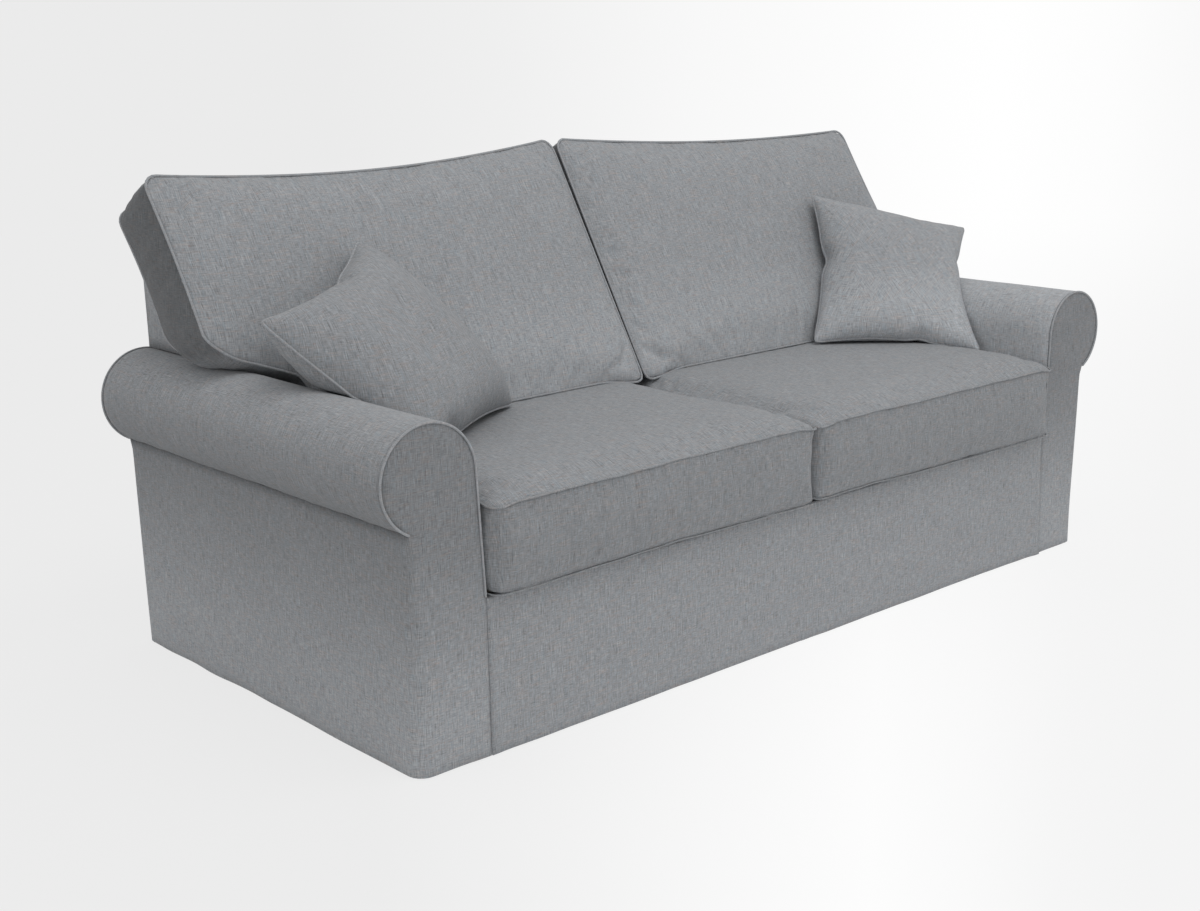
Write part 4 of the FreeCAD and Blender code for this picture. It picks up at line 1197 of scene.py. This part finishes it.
def backOutline(side, depth, inset, hang=0.0):  # hang is the share of the belly over the arm
    s = backCushionSet
    cornerX, cornerZ = s["shoulder"][side]
    innerTop, outerTop = s["topZ"] - inset, cornerZ - inset
    outer, inner = cornerX - inset, s["inner"] + inset
    r = s["topRound"]

    def upper(x, z):  # z as on the front plane
        return onLean(x, alongAt(z, 0), depth)

    def under(x, z):
        return onLean(x, alongAt(z, depth), depth)

    points = []
    reach = outer - inner - 2 * r
    for t in spread(0, 1, 30):
        dip = s["dip"][side] * math.sin(math.pi * t) ** 0.9 * (1 - 2 * inset)
        points.append(upper(inner + r + reach * t, innerTop + (outerTop - innerTop) * t - dip))
    turns = [math.radians(turn) for turn in (22, 45, 67)]
    points += [upper(outer - r + r * math.sin(a), outerTop - r + r * math.cos(a)) for a in turns]
    shoulder, tip = upper(outer, outerTop - r), under(s["outer"] - inset, s["wing"][0][1] + 0.03)
    for t in spread(0, 1, 12):
        points.append(shoulder.lerp(tip, t) - Vector((0.003 * math.sin(math.pi * t), 0, 0)))
    wing = [tip]
    for k, (x, z) in enumerate(s["wing"]):
        drop = s["belly"] * hang * smoothStep(x, 0.8, 0.86)
        z = max(z - drop, rollTopZ(x) + 0.002, 0.56) + inset
        wing.append(under(x - (0 if k in (1, 2) else inset), z))
    footOuter, footInner, footZ = s["footOuter"] - inset, s["footInner"] + inset, s["footZ"] + inset
    droop, bend = s["footDroop"], s["footRound"]
    wing += [under(footOuter + 0.004, 0.55), under(footOuter, 0.535), under(footOuter, footZ + bend)]
    points += curved(wing)[1:]
    points.append(under(footOuter - 0.005, footZ + 0.004 - droop / 2))
    for x in spread(footOuter - bend, footInner + bend, 40):
        near = 1 - smoothStep(min(x - footInner, footOuter - x), bend, 0.13)
        points.append(under(x, footZ - droop * near))
    points.append(under(footInner + 0.005, footZ + 0.004 - droop))
    foot, head = under(footInner, footZ + bend - droop), upper(inner, innerTop - r)
    points += [foot.lerp(head, t) for t in spread(0, 1, 12)]
    points += [upper(inner + r - r * math.sin(a), innerTop - r + r * math.cos(a)) for a in turns[::-1]]
    return ringOf(points, s["count"])


def makeBack(side):
    name = "Right" if side > 0 else "Left"
    s = backCushionSet
    node = name.lower()
    seed = 3 if side > 0 else 8
    depth = s["depth"]
    (frontDepth, frontHang), (rearDepth, rearHang) = s["frontSeam"], s["rearSeam"]
    rings = [
        backOutline(node, -0.022, 0.12),
        backOutline(node, -0.017, 0.06),
        backOutline(node, -0.006, 0.016),
        backOutline(node, frontDepth, 0, frontHang),
        backOutline(node, depth * 0.2, -0.002, 0.2),
        backOutline(node, depth * 0.45, -0.003, 0.5),
        backOutline(node, depth * 0.72, -0.002, 0.85),
        backOutline(node, rearDepth, 0, rearHang),
        backOutline(node, depth - 0.003, 0.012, 0.4),
        backOutline(node, depth - 0.001, 0.06),
    ]
    mesh = stuffed(rings, (rings[3], rings[7]), s)
    for v in mesh.vertices:
        p = v.co
        behind = depthOf(p)
        face = 1 - smoothStep(behind, -0.002, 0.004)
        p -= leanRear * (0.003 * ripple(p, 5, seed) + 0.001 * ripple(p, 17, seed)) * face
        box = smoothStep(behind, 0.008, 0.03) * (1 - smoothStep(behind, depth - 0.04, depth - 0.015))
        out = Vector((p.x - 0.5, 0, p.z - 0.75)).normalized()
        p += out * 0.0018 * ripple(p, 18, seed + 4) * box
        p.x = max(p.x, 0.0015)
        p.z = max(p.z, s["footZ"] - s["footDroop"] - 0.001)
        behind = depthOf(p)
        if behind > depth:
            p -= leanRear * (behind - depth)
        p -= leanRear * (eased(-behind, s["easeFrom"], s["easeRoom"]) + behind)
    mirrored(mesh, side)
    body = "back_" + node
    replaced = ["back_cushion_" + node, "back_filling_" + node]
    # painted light: the front's linen is lightened, most of all low down
    padPiece("backCushion" + name, mesh, cloth["back"], body, replaced)
    # painted light and shade: the boxing is lightened, and its faces turned to the left or right carry
    # painted shade
    mesh.materials.append(cloth["backBoxing"])
    for face in mesh.polygons:
        if depthOf(face.center) > 0.006:
            face.material_index = 1
    cords = (("Front", rings[3]), ("Rear", backOutline(node, rearDepth, s["rearSink"], rearHang)))
    for label, path in cords:
        run = evenly(onSide(path, side), sewingSet["cordStep"], closed=True)
        tube("backPiping" + label + name, run, s["piping"], cloth["piping"], body, closed=True)


makeBack(1)
makeBack(-1)
print("back cushions made")

scatterSet = {
    "cells": 44,
    "half": 0.21,
    "round": 0.10,
    "piping": 0.0027,
    "left": {  # its four corners, seen from the front
        "corners": {
            "bottom": (-0.82, -0.305, 0.502),
            "right": (-0.408, -0.03, 0.504),
            "top": (-0.66, 0.135, 0.852),
            "left": (-1.02, -0.085, 0.76),
        },
        "fill": 0.088,
        "draws": {"low": 0.02, "right": -0.018, "high": 0.034, "left": 0.006},
        "pinches": (((-0.55, -1.0), 0.016, 0.16), ((0.15, 1.0), 0.012, 0.12)),
        "seed": 5,
    },
    "right": {
        "corners": {
            "bottom": (0.545, -0.018, 0.503),
            "right": (0.825, -0.31, 0.481),
            "top": (1.08, -0.065, 0.739),
            "left": (0.72, 0.145, 0.84),
        },
        "fill": 0.066,
        "draws": {"low": 0.022, "right": 0.036, "high": 0.016, "left": 0.026},
        "pinches": (((-1.0, 0.12), 0.012, 0.13), ((0.3, -1.0), 0.010, 0.12), ((1.0, 0.35), 0.008, 0.12)),
        "seed": 7,
    },
}


def keptOut(p, gap=0.001):  # out of the seat, the arms and the back cushions
    edge = min(abs(p.x) - seatLow.x, seatHigh.x - abs(p.x), p.y - seatLow.y, seatHigh.y - p.y)
    p.z = max(p.z, seatSet["topSeam"] + seatRise(edge) + 0.003 + gap)
    side = 1 if p.x > 0 else -1
    roll = Vector((side * armSet["rollX"], p.y, armSet["rollZ"]))
    away = p - roll
    reach = armSet["rollRadius"] + 0.002 + gap
    if away.length < reach:
        p = roll + away.normalized() * reach
    wall = armSet["inner"] - gap
    if abs(p.x) > wall and p.z < armSet["rollZ"]:
        p.x = side * wall
    return p - leanRear * max(0, depthOf(p) + 0.0262 + gap)


def rimOrder(across, along):  # the cells of a grid's edge, one after the other
    order = [(i, 0) for i in range(across)] + [(across, j) for j in range(along)]
    return order + [(i, along) for i in range(across, 0, -1)] + [(0, j) for j in range(along, 0, -1)]


def twoFaced(grid, across, along):
    faces = []
    for face in (1, -1):
        for i in range(across):
            for j in range(along):
                spots = ((i, j), (i + 1, j), (i + 1, j + 1), (i, j + 1))
                faces.append(tuple(grid[face, *spot] for spot in spots[::face]))
    return faces


def makeScatter(node):
    spot = scatterSet[node]
    corner = {name: Vector(place) for name, place in spot["corners"].items()}
    across = (corner["right"] - corner["bottom"] + corner["top"] - corner["left"]).normalized()
    upward = (corner["left"] - corner["bottom"] + corner["top"] - corner["right"]).normalized()
    normal = across.cross(upward).normalized()
    cells, seed, rounding = scatterSet["cells"], spot["seed"], scatterSet["round"]

    def onFlat(u, v):
        low = corner["bottom"].lerp(corner["right"], (u + 1) / 2)
        high = corner["left"].lerp(corner["top"], (u + 1) / 2)
        return low.lerp(high, (v + 1) / 2)

    def place(u, v, face, edge):
        drawU, drawV = (
            spot["draws"][key] / scatterSet["half"]
            for key in ("right" if u > 0 else "left", "high" if v > 0 else "low")
        )
        away = math.hypot(max(0, abs(u) - 1 + rounding), max(0, abs(v) - 1 + rounding))
        cut = 1 - 0.35 * max(0, away - rounding)
        p = onFlat((u - drawU * u ** 3 * (1 - v * v)) * cut, (v - drawV * v ** 3 * (1 - u * u)) * cut)
        full = ((1 - u ** 4) * (1 - v ** 4)) ** 0.5 * (1 - 0.25 * (u * u + v * v) / 2)
        rise = spot["fill"] * full
        if not edge:
            near = 1 - max(abs(u), abs(v))
            gather = 0.0035 * ripple((u * 1.4, v * 1.4, 0), 6.5, seed) * math.exp(-near / 0.12)
            rise += gather + 0.005 * ripple((u, v, face), 2.3, seed + 2) * full
        for (pu, pv), pull, reach in spot["pinches"]:
            share = math.exp(-((u - pu) ** 2 + (v - pv) ** 2) / reach ** 2)
            p += (onFlat(0, 0) - p).normalized() * pull * share
            rise -= 0 if edge else pull * 0.8 * share
        bend = 0.010 * noise.noise(Vector((u * 1.1, v * 1.1, seed)))
        return keptOut(p + normal * (face * rise + bend))

    vertices, grid = [], {}
    for face in (1, -1):
        for i in range(cells + 1):
            for j in range(cells + 1):
                edge = i in (0, cells) or j in (0, cells)
                if edge and face < 0:
                    grid[face, i, j] = grid[1, i, j]
                    continue
                grid[face, i, j] = len(vertices)
                u, v = -math.cos(math.pi * i / cells), -math.cos(math.pi * j / cells)
                vertices.append(place(u, v, face, edge))
    rim = [vertices[grid[1, i, j]].copy() for i, j in rimOrder(cells, cells)]
    name = node.capitalize()
    body = "scatter_" + node
    mesh = meshOf("scatter", vertices, twoFaced(grid, cells, cells))
    replaced = ["scatter_cushion_" + node, "scatter_pad_" + node]
    # painted light: the right cushion's linen is much lighter, most of all low down
    padPiece("scatterCushion" + name, mesh, cloth["scatter" + name], body, replaced)
    path = evenly(rim, sewingSet["thinCordStep"], closed=True)
    tube("scatterPiping" + name, path, scatterSet["piping"], cloth["piping"], body, closed=True)


makeScatter("left")
makeScatter("right")
print("scatter cushions made")


# mattress pads

padSet = {"quilt": 0.11, "depth": 0.0035, "edge": 0.012, "cell": 0.022}


def makePad(node, body):
    low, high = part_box(node)
    x0, x1, y0, y1 = low.x + 0.001, high.x - 0.001, low.y + 0.001, high.y - 0.001
    z0, z1 = low.z + 0.0006, high.z - 0.0006
    across = int((x1 - x0) / padSet["cell"])
    along = int((y1 - y0) / padSet["cell"])
    vertices, grid = [], {}
    edge, quilt = padSet["edge"], math.pi / padSet["quilt"]
    for face in (1, -1):
        for i in range(across + 1):
            for j in range(along + 1):
                x, y = x0 + (x1 - x0) * i / across, y0 + (y1 - y0) * j / along
                inward = min(x - x0, x1 - x, y - y0, y1 - y)
                rounding = edge - math.sqrt(max(0, edge * edge - (edge - min(inward, edge)) ** 2))
                quilted = abs(math.sin(quilt * (x + y)) * math.sin(quilt * (x - y))) ** 0.5
                dip = rounding + padSet["depth"] * (1 - quilted) * smoothStep(inward, 0.01, 0.04)
                grid[face, i, j] = len(vertices)
                vertices.append(Vector((x, y, z1 - dip if face > 0 else z0 + dip)))
    faces = twoFaced(grid, across, along)
    order = rimOrder(across, along)
    for first, second in zip(order, order[1:] + order[:1]):
        faces.append((grid[-1, *first], grid[-1, *second], grid[1, *second], grid[1, *first]))
    name = node.split("_")[0] + "Mattress"
    piece = dressed(name, meshOf(name, vertices, faces), ticking, body)
    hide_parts(node)


for part in ("head", "middle", "foot"):
    makePad(part + "_pad", part + "_section")
print("mattress made")
